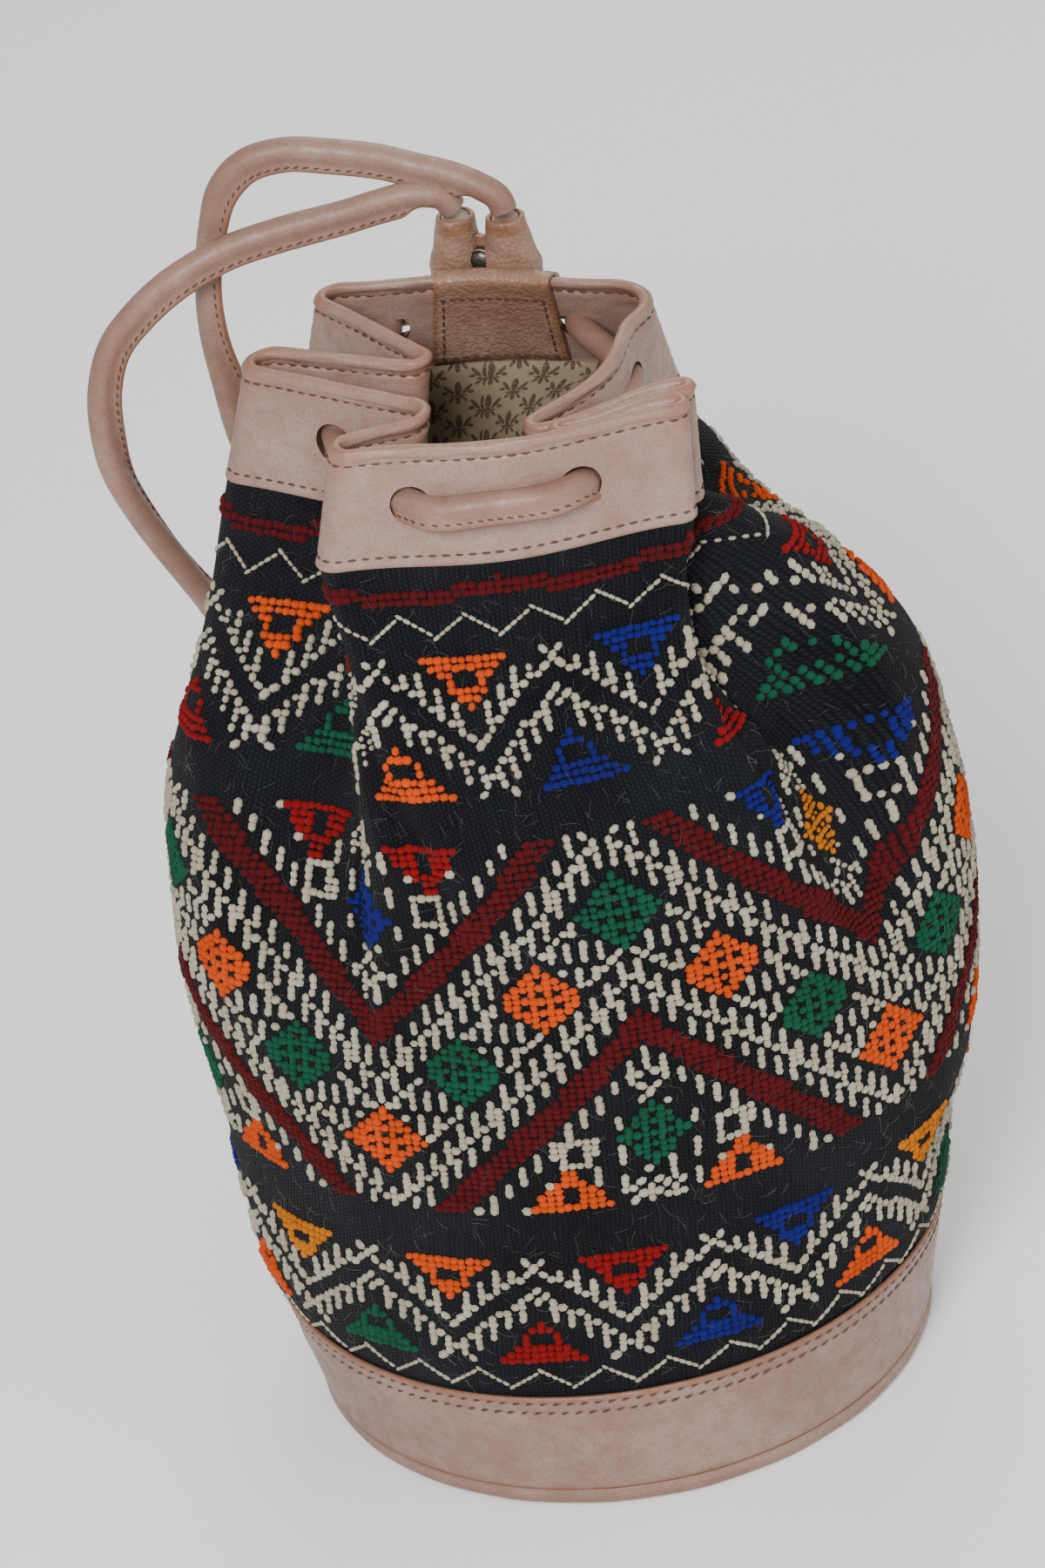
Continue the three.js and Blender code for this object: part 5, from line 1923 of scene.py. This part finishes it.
@dataclass
class Collar:
    """The folded leather strip round the mouth with its twelve holes."""

    mouth: Mouth
    finishes: Finishes
    pitch: float = 4.8

    def ring(self, drop: float, distance: float) -> Array:
        """Gives a ring below the rim."""
        share = 1 - drop / COLLAR_HEIGHT
        plan = self.mouth.collar(share)
        z = RIM_Z - drop - self.mouth.values["dip"] * COLLAR_HEIGHT
        return offset_plan(np.concatenate([plan, z[:, None]], -1), distance)

    def profile(self) -> list[tuple[float, float, float]]:
        """Gives half the section: drop, distance and wear, from the foot up."""
        half, roll = COLLAR_WALL / 2, COLLAR_ROLL / 2
        rows = [(COLLAR_HEIGHT + 1.2, half - 0.1, 0.5), (COLLAR_HEIGHT + 0.4, half + 0.5, 0.35),
                (COLLAR_HEIGHT - 1.2, half + 0.5, 0.1), (COLLAR_HEIGHT - 3.0, half - 0.25, 0.1)]
        rows += [(COLLAR_HEIGHT - 4.8, half + 0.25, 0.0)]
        rows += [(drop, half + 0.15, 0.0) for drop in np.linspace(COLLAR_HEIGHT - 8, 9.5, 16)]
        rows += [(7.6, half + 0.2, 0.05), (6.6, half, 0.15), (5.9, half - 0.45, 0.3), (5.1, half + 0.1, 0.2)]
        angles = np.linspace(-0.75, math.pi / 2, 9)
        for a in angles:
            rows.append((roll - roll * math.sin(a), roll * math.cos(a), 0.12 + 0.5 * max(0, math.sin(a)) ** 3))
        return rows

    def build(self, stitches: BeadPoints) -> Object:
        """Makes the collar.

        Args:
            stitches: Where the stitches' places go.

        Returns:
            The piece.
        """
        half = self.profile()
        section = half + [(d, -o, w) for d, o, w in half[-2::-1]]
        turns = self.mouth.turns
        grid = np.array([self.ring(drop, distance) for drop, distance, _ in section])
        out = normals_of(grid)
        out[..., 2] *= 0.2
        drops = np.array([row[0] for row in section])
        rise = 1 - drops / COLLAR_HEIGHT
        u, v = np.meshgrid(turns, rise)
        side = np.array([1] * len(half) + [-1] * (len(section) - len(half)))
        soft = 0.30 * waves(u, v, 13, 30) + 0.16 * waves(u, v, 17, 70)
        grid = grid + out * (soft * side[:, None] * np.clip(v, 0.1, 1))[..., None]
        bend = np.linalg.norm(np.roll(self.ring(0, 0), -6, 0) + np.roll(self.ring(0, 0), 6, 0)
                              - 2 * self.ring(0, 0), axis=1)
        corner = np.clip(bend / 9, 0, 1)
        wear = np.array([row[2] for row in section])[:, None] * 0.75
        wear = wear + corner[None, :] * np.clip(v, 0, 1) ** 3 * 0.6
        piece = closed_piece("collar_strip", grid, self.finishes.leather_of(COLLAR_LEATHER),
                             np.clip(wear, 0, 1), 80, True)
        self.punch(piece)
        self.sew(stitches)
        return fit(piece, "collar_leather", "collar")

    def punch(self, piece: Object) -> None:
        """Cuts the twelve holes and gives their walls the dark thread material: painted shade in the holes."""
        cutters = []
        for index, (centre, outward, _) in enumerate(hole_spots(self.mouth)):
            ring = np.arange(36) * TAU / 36
            across = np.array([-outward[1], outward[0], 0.0])
            circle = across * np.cos(ring)[:, None] + np.array([0, 0, 1.0]) * np.sin(ring)[:, None]
            thick = outward * COLLAR_WALL
            grid = np.array([centre + circle * HOLE / 2 + thick * way for way in (-1.0, 1.0)])
            cutter = grid_object("punch_%02d" % index, grid, None, caps=True)
            face_outward(cutter)
            cutters.append(cutter)
            modifier = piece.modifiers.new("Hole %02d" % index, "BOOLEAN")
            modifier.operation = "DIFFERENCE"
            modifier.solver = "EXACT"
            modifier.object = cutter
        bake(piece)
        for cutter in cutters:
            bpy.data.objects.remove(cutter, do_unlink=True)
        piece.data.polygons.foreach_set("use_smooth", [True] * len(piece.data.polygons))
        piece.data.set_sharp_from_angle(angle=math.radians(50))
        # The walls of the holes take the dark thread material as a second material: painted shade in the holes.
        piece.data.materials.append(self.finishes.thread())
        middles = np.array([polygon.center for polygon in piece.data.polygons]) / MM
        for centre, outward, _ in hole_spots(self.mouth):
            away = middles - centre
            through = away @ outward
            radial = np.linalg.norm(away - through[:, None] * outward, axis=1)
            for index in np.nonzero((radial < HOLE / 2 + 0.02) & (np.abs(through) < COLLAR_WALL))[0]:
                piece.data.polygons[int(index)].material_index = 1

    def sew(self, stitches: BeadPoints) -> None:
        """Adds the rows of stitches under the rim and over the foot, on both faces."""
        for drop, side, lift in ((5.9, 1, -0.25), (5.9, -1, -0.25), (COLLAR_HEIGHT - 3.0, 1, -0.05)):
            ring = self.ring(drop, side * (COLLAR_WALL / 2 + lift))
            stitches.ring(ring, self.pitch, 1.2, 0, side, (1.65, 0.5, 0.5))


@dataclass
class Base:
    """The leather foot: the turned-up sole and the band with its sewn upper edge."""

    finishes: Finishes
    columns: int = 300
    pitch: float = 5.2

    def band_ring(self, z: float, distance: float) -> Array:
        """Gives a ring of the band."""
        share = (z - BAND_FOOT) / BAND_HEIGHT
        turns = np.arange(self.columns) / self.columns
        width = SOLE_WIDTH + (BAND_WIDTH - SOLE_WIDTH) * share
        depth = SOLE_DEPTH + (BAND_DEPTH - SOLE_DEPTH) * share
        return offset_plan(oval_ring(width, depth, z, turns), distance)

    def build(self, stitches: BeadPoints) -> list[Object]:
        """Makes the sole and the band."""
        return [self.sole(), self.band(stitches)]

    def sole(self) -> Object:
        """Makes the sole with its rounded lip.

        Returns:
            The piece.
        """
        turns = np.arange(self.columns) / self.columns
        table = [(5.0, 0.0, 0.2)]
        angles = np.linspace(0.25, math.pi / 2, 6)
        table += [(5 - 5 * math.sin(a), 4.2 - 4.2 * math.cos(a), 0.45) for a in angles]
        table += [(0.0, 5.5, 0.1), (-0.15, 6.8, 0.0), (0.0, 8.0, 0.3), (0.5, SOLE_LIP, 0.6),
                  (1.7, SOLE_LIP, 0.6), (2.2, 8.0, 0.3), (2.2, 3.0, 0.0)]
        wave = 0.25 * waves(turns, np.zeros_like(turns), 41, 24)
        grid = []
        for inset, z, _ in table:
            ring = oval_ring(SOLE_WIDTH - 2 * inset, SOLE_DEPTH - 2 * inset, z, turns)
            moved = offset_plan(ring, 1.0) - ring
            grid.append(ring + moved * (wave * (0.3 < z < 8.4))[:, None])
        wear = np.array([row[2] for row in table])[:, None]
        piece = closed_piece("leather_sole", np.array(grid), self.finishes.leather_of(BASE_LEATHER), wear)
        return fit(piece, "base_leather", "base_sole")

    def band(self, stitches: BeadPoints) -> Object:
        """Makes the band.

        Args:
            stitches: Where the stitches' places go.

        Returns:
            The piece.
        """
        rows = [(BAND_FOOT, -0.4, 0.7), (BAND_FOOT + 0.8, 0.25, 0.6), (BAND_FOOT + 2.2, 0.1, 0.2)]
        rows += [(BAND_FOOT + z, 0.0, 0.0) for z in np.linspace(5, BAND_HEIGHT - 11, 12)]
        rows += [(BAND_TOP - 8.6, 0.05, 0.0), (BAND_TOP - 7.6, -0.4, 0.15), (BAND_TOP - 6.6, 0.1, 0.0),
                 (BAND_TOP - 4.6, 0.2, 0.1), (BAND_TOP - 3.4, 0.1, 0.25), (BAND_TOP - 2.7, -0.35, 0.4),
                 (BAND_TOP - 1.9, 0.2, 0.6), (BAND_TOP - 0.8, 0.2, 0.8), (BAND_TOP - 0.1, -0.4, 0.9),
                 (BAND_TOP, -1.1, 0.8), (BAND_TOP - 0.4, -1.9, 0.4), (BAND_TOP - 3, -BAND_WALL, 0.0),
                 (BAND_FOOT + 20, -BAND_WALL, 0.0), (BAND_FOOT, -BAND_WALL, 0.0)]
        turns = np.arange(self.columns) / self.columns
        grid = []
        for z, distance, _ in rows:
            ring = self.band_ring(z, distance)
            outer = distance > -1.5
            share = (z - BAND_FOOT) / BAND_HEIGHT
            move = 0.5 * waves(turns, np.full_like(turns, share), 51, 12)
            move = move * math.sin(math.pi * min(max(share, 0), 1))
            step = offset_plan(ring, 1.0) - ring
            grid.append(ring + step * (np.abs(move) * outer)[:, None])
        wear = np.array([row[2] for row in rows])[:, None]
        leather = self.finishes.leather_of(BASE_LEATHER)
        piece = closed_piece("leather_band", np.array(grid), leather, wear, wrap_rows=True)
        for z, distance in ((BAND_TOP - 2.7, -0.05), (BAND_TOP - 7.6, 0.0)):
            stitches.ring(self.band_ring(z, distance), self.pitch, 1, 0.42, 1, (1.9, 0.55, 0.5))
        return fit(piece, "base_leather", "base_band")


@dataclass
class Keeper:
    """The wrinkled leather keeper over the rim with its two tunnels, and the rivet between them."""

    mouth: Mouth
    finishes: Finishes

    @property
    def turn(self) -> float:
        """The share of the way round at its middle."""
        return (-KEEPER_ASIDE / self.mouth.length) % 1.0

    def skin(self, aside: Array, drop: float, off: float) -> Array:
        """Gives a row of points across the keeper."""
        plan = self.mouth.collar(float(np.clip(1 - drop / COLLAR_HEIGHT, 0, 1)))
        ring = offset_plan(np.concatenate([plan, np.full((len(plan), 1), RIM_Z - drop)], -1), off)
        at = (self.turn + aside) % 1.0
        return sample(ring, self.mouth.turns, at, 1)

    def build(self, stitches: BeadPoints) -> list[Object]:
        """Makes the keeper, its tunnels and the rivet.

        Args:
            stitches: Where the stitches' places go.

        Returns:
            The pieces.
        """
        leather = self.finishes.leather_of(KEEPER_LEATHER)
        strip = self.strip(leather)
        sleeves = [self.sleeve(side, leather) for side in (-1, 1)]
        web = self.web(leather)
        rivet = self.rivet()
        self.sew(stitches)
        fit(strip, "keeper_leather", "keeper")
        for piece in (*sleeves, web):
            fit(piece, "keeper_leather")
        fit(rivet, "dark_metal", "keeper_rivet")
        return [strip, *sleeves, web, rivet]

    def strip(self, leather: Material) -> Object:
        """Makes the strip bent over the rim."""
        near, far = COLLAR_ROLL / 2 + GAP, COLLAR_ROLL / 2 + GAP + KEEPER_WALL
        low, lower = COLLAR_WALL / 2 + 2 * GAP, COLLAR_WALL / 2 + 2 * GAP + KEEPER_WALL
        front = [(-lower, d) for d in np.linspace(KEEPER_FLAP - 0.8, 9, 14)] + [(-far, 5.5), (-far, 2.4)]
        angles = np.linspace(0.35, math.pi - 0.35, 8)
        over = [(-far * math.cos(a), 2.4 - (far - 1.1) * math.sin(a)) for a in angles]
        back = [(far, 2.4), (far, 5.5), (lower, 9), (lower, KEEPER_BACK - 0.8), (lower - 0.6, KEEPER_BACK),
                (low + 0.5, KEEPER_BACK), (low, KEEPER_BACK - 0.8), (low, 9), (near, 5.5), (near, 2.0)]
        angles = np.linspace(0.45, math.pi - 0.45, 6)
        under = [(near * math.cos(a), 1.6 - near * 0.72 * math.sin(a)) for a in angles]
        tail = [(-near, 2.0), (-near, 5.5), (-low, 9), (-low, KEEPER_FLAP - 0.8), (-low - 0.5, KEEPER_FLAP),
                (-lower + 0.6, KEEPER_FLAP)]
        profile = front + over + back + under + tail
        half = KEEPER_WIDTH / self.mouth.length / 2
        asides = np.linspace(half, -half, 44)
        rows = np.array([self.skin(asides, drop, off) for off, drop in profile])
        count = len(front) + len(over) + 3
        u, v = np.meshgrid(np.linspace(0, 1, 44), np.linspace(0, 1, count))
        rough = 0.38 * waves(u * 0.9, v, 61, 7) + 0.22 * waves(u * 0.9, v, 67, 16)
        out = normals_of(rows, wrap=False)
        push = np.zeros(rows.shape[:2])
        push[:count] = np.abs(rough)
        trial = rows + out * push[..., None]
        middle = rows.mean((0, 1))
        if ((trial - middle) ** 2).sum() < ((rows - middle) ** 2).sum():
            trial = rows - out * push[..., None]
        wear = np.zeros(rows.shape[:2])
        wear[len(front) - 2:len(front) + len(over) + 2] = 0.45
        wear[:, :2] = 0.8
        wear[:, -2:] = 0.8
        wear[:1] = 0.8
        grid = np.swapaxes(trial, 0, 1)
        return closed_piece("keeper_strip", grid, leather, wear.T, 65)

    def sleeve(self, side: int, leather: Material) -> Object:
        """Makes one tunnel.

        Args:
            side: -1 on the left and 1 on the right.
            leather: Its leather.

        Returns:
            The piece.
        """
        foot, top = tunnel_axis(self.mouth, side)
        shares = np.linspace(0, 1, 22)
        wide = np.interp(shares, (0, 0.35, 0.68, 1), (1.42, 1.50, 1.20, 1.0))
        angles = np.arange(SLEEVE_SIDES) * TAU / SLEEVE_SIDES
        rows = []
        for share, stretch in zip(shares, wide):
            ripple = 1 + 0.030 * np.sin(angles * 7 + share * 5 + side) * (1 - share) + 0.016 * np.sin(
                angles * 3 + share * 17 + side * 2)
            centre = foot + (top - foot) * share
            radius = TUNNEL_RADIUS * ripple
            deep = 1 + (stretch - 1) * 0.28
            ring = np.stack([radius * stretch * np.cos(angles), radius * deep * np.sin(angles)], -1)
            rows.append(np.concatenate([centre[:2] + ring, np.full((SLEEVE_SIDES, 1), centre[2])], -1))
        inner = CORD / 2 + GAP
        for share, radius in ((1.015, TUNNEL_RADIUS - 0.5), (1.015, inner + 0.4), (1.0, inner),
                              (0.7, inner), (0.4, inner), (0.0, inner)):
            centre = foot + (top - foot) * share
            ring = np.stack([radius * np.cos(angles), radius * np.sin(angles)], -1)
            rows.append(np.concatenate([centre[:2] + ring, np.full((SLEEVE_SIDES, 1), centre[2])], -1))
        wear = np.zeros((len(rows), SLEEVE_SIDES))
        wear[18:26] = 0.7
        name = "keeper_tunnel_" + ("left" if side < 0 else "right")
        return closed_piece(name, np.array(rows), leather, wear, 70, True)

    def web(self, leather: Material) -> Object:
        """Makes the leather between the tunnels, notched at its top."""
        left, right = tunnel_axis(self.mouth, -1), tunnel_axis(self.mouth, 1)
        _, outward, _ = self.mouth.at(self.turn, 1)
        shares = np.linspace(0, 1, 17)
        levels = np.linspace(0, 1, 12)
        front, back = [], []
        for level in levels:
            row_front, row_back = [], []
            for share in shares:
                notch = 0.86 - 0.14 * (1 - abs(2 * share - 1))
                rise = level * notch
                point = (left[0] + (left[1] - left[0]) * rise) * (1 - share)
                point = point + (right[0] + (right[1] - right[0]) * rise) * share
                pinch = 1 - 0.25 * math.sin(math.pi * share)
                row_front.append(point - outward * TUNNEL_WALL * pinch)
                row_back.append(point + outward * TUNNEL_WALL * pinch)
            front.append(row_front)
            back.append(row_back)
        loop = np.concatenate([np.array(front), np.array(back)[::-1]])
        grid = np.swapaxes(loop, 0, 1)
        wear = np.zeros((len(shares), len(loop)))
        wear[:, 9:15] = 0.7
        return closed_piece("keeper_web", grid, leather, wear)

    def rivet(self) -> Object:
        """Makes the domed rivet with its raised ring."""
        left, right = tunnel_axis(self.mouth, -1), tunnel_axis(self.mouth, 1)
        part = TUNNEL_DROP / (TUNNEL_DROP + TUNNEL_RISE)
        middle = sum(axis[0] + (axis[1] - axis[0]) * part for axis in (left, right)) / 2
        middle[2] = RIM_Z
        _, outward, _ = self.mouth.at(self.turn, 1)
        facing = -outward
        middle = middle + facing * (TUNNEL_WALL + RIVET_HEIGHT)
        across = np.array([-outward[1], outward[0], 0.0])
        angles = np.arange(40) * TAU / 40
        circle = across * np.cos(angles)[:, None] + np.array([0, 0, 1.0]) * np.sin(angles)[:, None]
        section = [(0.5, -RIVET_HEIGHT), (0.5, -0.4), (0.49, 0.1), (0.46, 0.3), (0.43, 0.1), (0.41, 0.0),
                   (0.38, 0.45), (0.32, 0.95), (0.22, 1.35), (0.1, 1.55), (0.02, 1.6)]
        grid = np.array([middle + circle * RIVET * share + facing * rise for share, rise in section])
        wear = np.array([0, 0.3, 0.6, 0.7, 0.4, 0, 0.05, 0.15, 0.3, 0.35, 0.35])[:, None]
        return closed_piece("rivet_dome", grid, self.finishes.dark_metal(), wear, 70)

    def sew(self, stitches: BeadPoints) -> None:
        """Adds the box of stitches on the flap."""
        half = KEEPER_WIDTH / self.mouth.length / 2 * 0.84
        off = -(COLLAR_WALL / 2 + 2 * GAP + KEEPER_WALL + 0.25)
        facing = -self.mouth.at(self.turn, 1)[1]
        drops = np.arange(10.5, KEEPER_FLAP, 3.6)
        for side in (-1, 1):
            line = np.array([self.skin(np.array([side * half]), drop, off)[0] for drop in drops])
            stitches.add(line, np.tile([0.0, 0, 1], (len(line), 1)), facing, (1.5, 0.55, 0.5))
        asides = np.linspace(-half, half, 12)
        for drop in (9.6, KEEPER_FLAP - 2.6):
            line = self.skin(asides, drop, off - (0.4 if drop < 10 else 0))
            stitches.add(line, np.gradient(line, axis=0), facing, (1.5, 0.55, 0.5))


@dataclass
class Tab:
    """A leather tab low on the back with a raised socket for a strap's end."""

    side: int
    finishes: Finishes

    def build(self, stitches: BeadPoints) -> Object:
        """Makes the tab.

        Args:
            stitches: Where the stitches' places go.

        Returns:
            The piece.
        """
        columns, rows = 36, 28
        outer, inner = [], []
        for rise in np.linspace(0, 1, rows):
            z = BAND_FOOT + TAB_HEIGHT * 0.2 + rise * TAB_HEIGHT
            share = (z - BAND_FOOT) / BAND_HEIGHT
            a = (SOLE_WIDTH + (BAND_WIDTH - SOLE_WIDTH) * share) / 2
            b = (SOLE_DEPTH + (BAND_DEPTH - SOLE_DEPTH) * share) / 2
            narrow = 1 - 0.12 * (1 - rise) ** 3
            across = np.linspace(-0.5, 0.5, columns) * TAB_WIDTH * narrow
            x = self.side * TAB_X + across
            slope = np.arctan2(b * x / a, np.sqrt(a * a - x * x))
            y = b * np.sqrt(1 - (x / a) ** 2)
            raised = np.exp(-((across / (CORD / 2 * 1.1)) ** 2)) * (CORD + GAP) * rise ** 0.8
            edge = np.minimum(1, np.minimum(across - across[0], across[-1] - across) / 1.6 + 0.45)
            height = np.full(columns, z)
            back = np.full(columns, GAP + 0.5)
            for away, found in ((back, inner), (back + TAB_WALL * edge + raised, outer)):
                found.append(np.stack([x + np.sin(slope) * away, y + np.cos(slope) * away, height], -1))
        skin = np.array(outer)
        grid = np.concatenate([skin, np.array(inner)[:, ::-1]], 1)
        wear = np.zeros(grid.shape[:2])
        wear[:, :2] = 0.7
        wear[:, columns - 2:columns] = 0.7
        wear[-2:] = 0.8
        name = "tab_" + ("left" if self.side < 0 else "right")
        piece = closed_piece(name, grid, self.finishes.leather_of(BASE_LEATHER), wear)
        for column in (4, columns - 5):
            line = skin[2:-2:3, column]
            up = np.gradient(line, axis=0)
            stitches.add(line + np.array([0, 0.2, 0]), up, np.array([0.0, 1, 0]), (1.6, 0.5, 0.5))
        return fit(piece, "base_leather", "strap_" + name)


def main() -> None:
    """Builds the whole bag."""
    finishes = Finishes()
    mouth = Mouth()
    studio = Studio()
    studio.camera()
    cords = Cords(mouth, finishes)
    pieces = cords.build()
    group = bead_group()
    stitches = BeadPoints()
    tube = KilimTube(mouth, finishes)
    pieces.append(tube.build())
    pieces += tube.knots(group)
    pieces.append(tube.fibres())
    pieces.append(Lining(mouth, finishes).build())
    pieces.append(Collar(mouth, finishes).build(stitches))
    pieces += Base(finishes).build(stitches)
    pieces += Keeper(mouth, finishes).build(stitches)
    pieces += [Tab(side, finishes).build(stitches) for side in (-1, 1)]
    thread = finishes.thread()
    pieces.append(fit(stitches.build("stitches", group, thread), "base_leather"))
    pieces.append(fit(cords.stitches.build("cord_stitches", group, thread), "cord_leather"))
    studio.build(finishes)
    for piece in pieces:
        log.info("%s: %d faces", piece.name, len(piece.data.polygons))


if __name__ == "__main__":
    logging.basicConfig(level=logging.INFO, format="%(message)s")
    main()
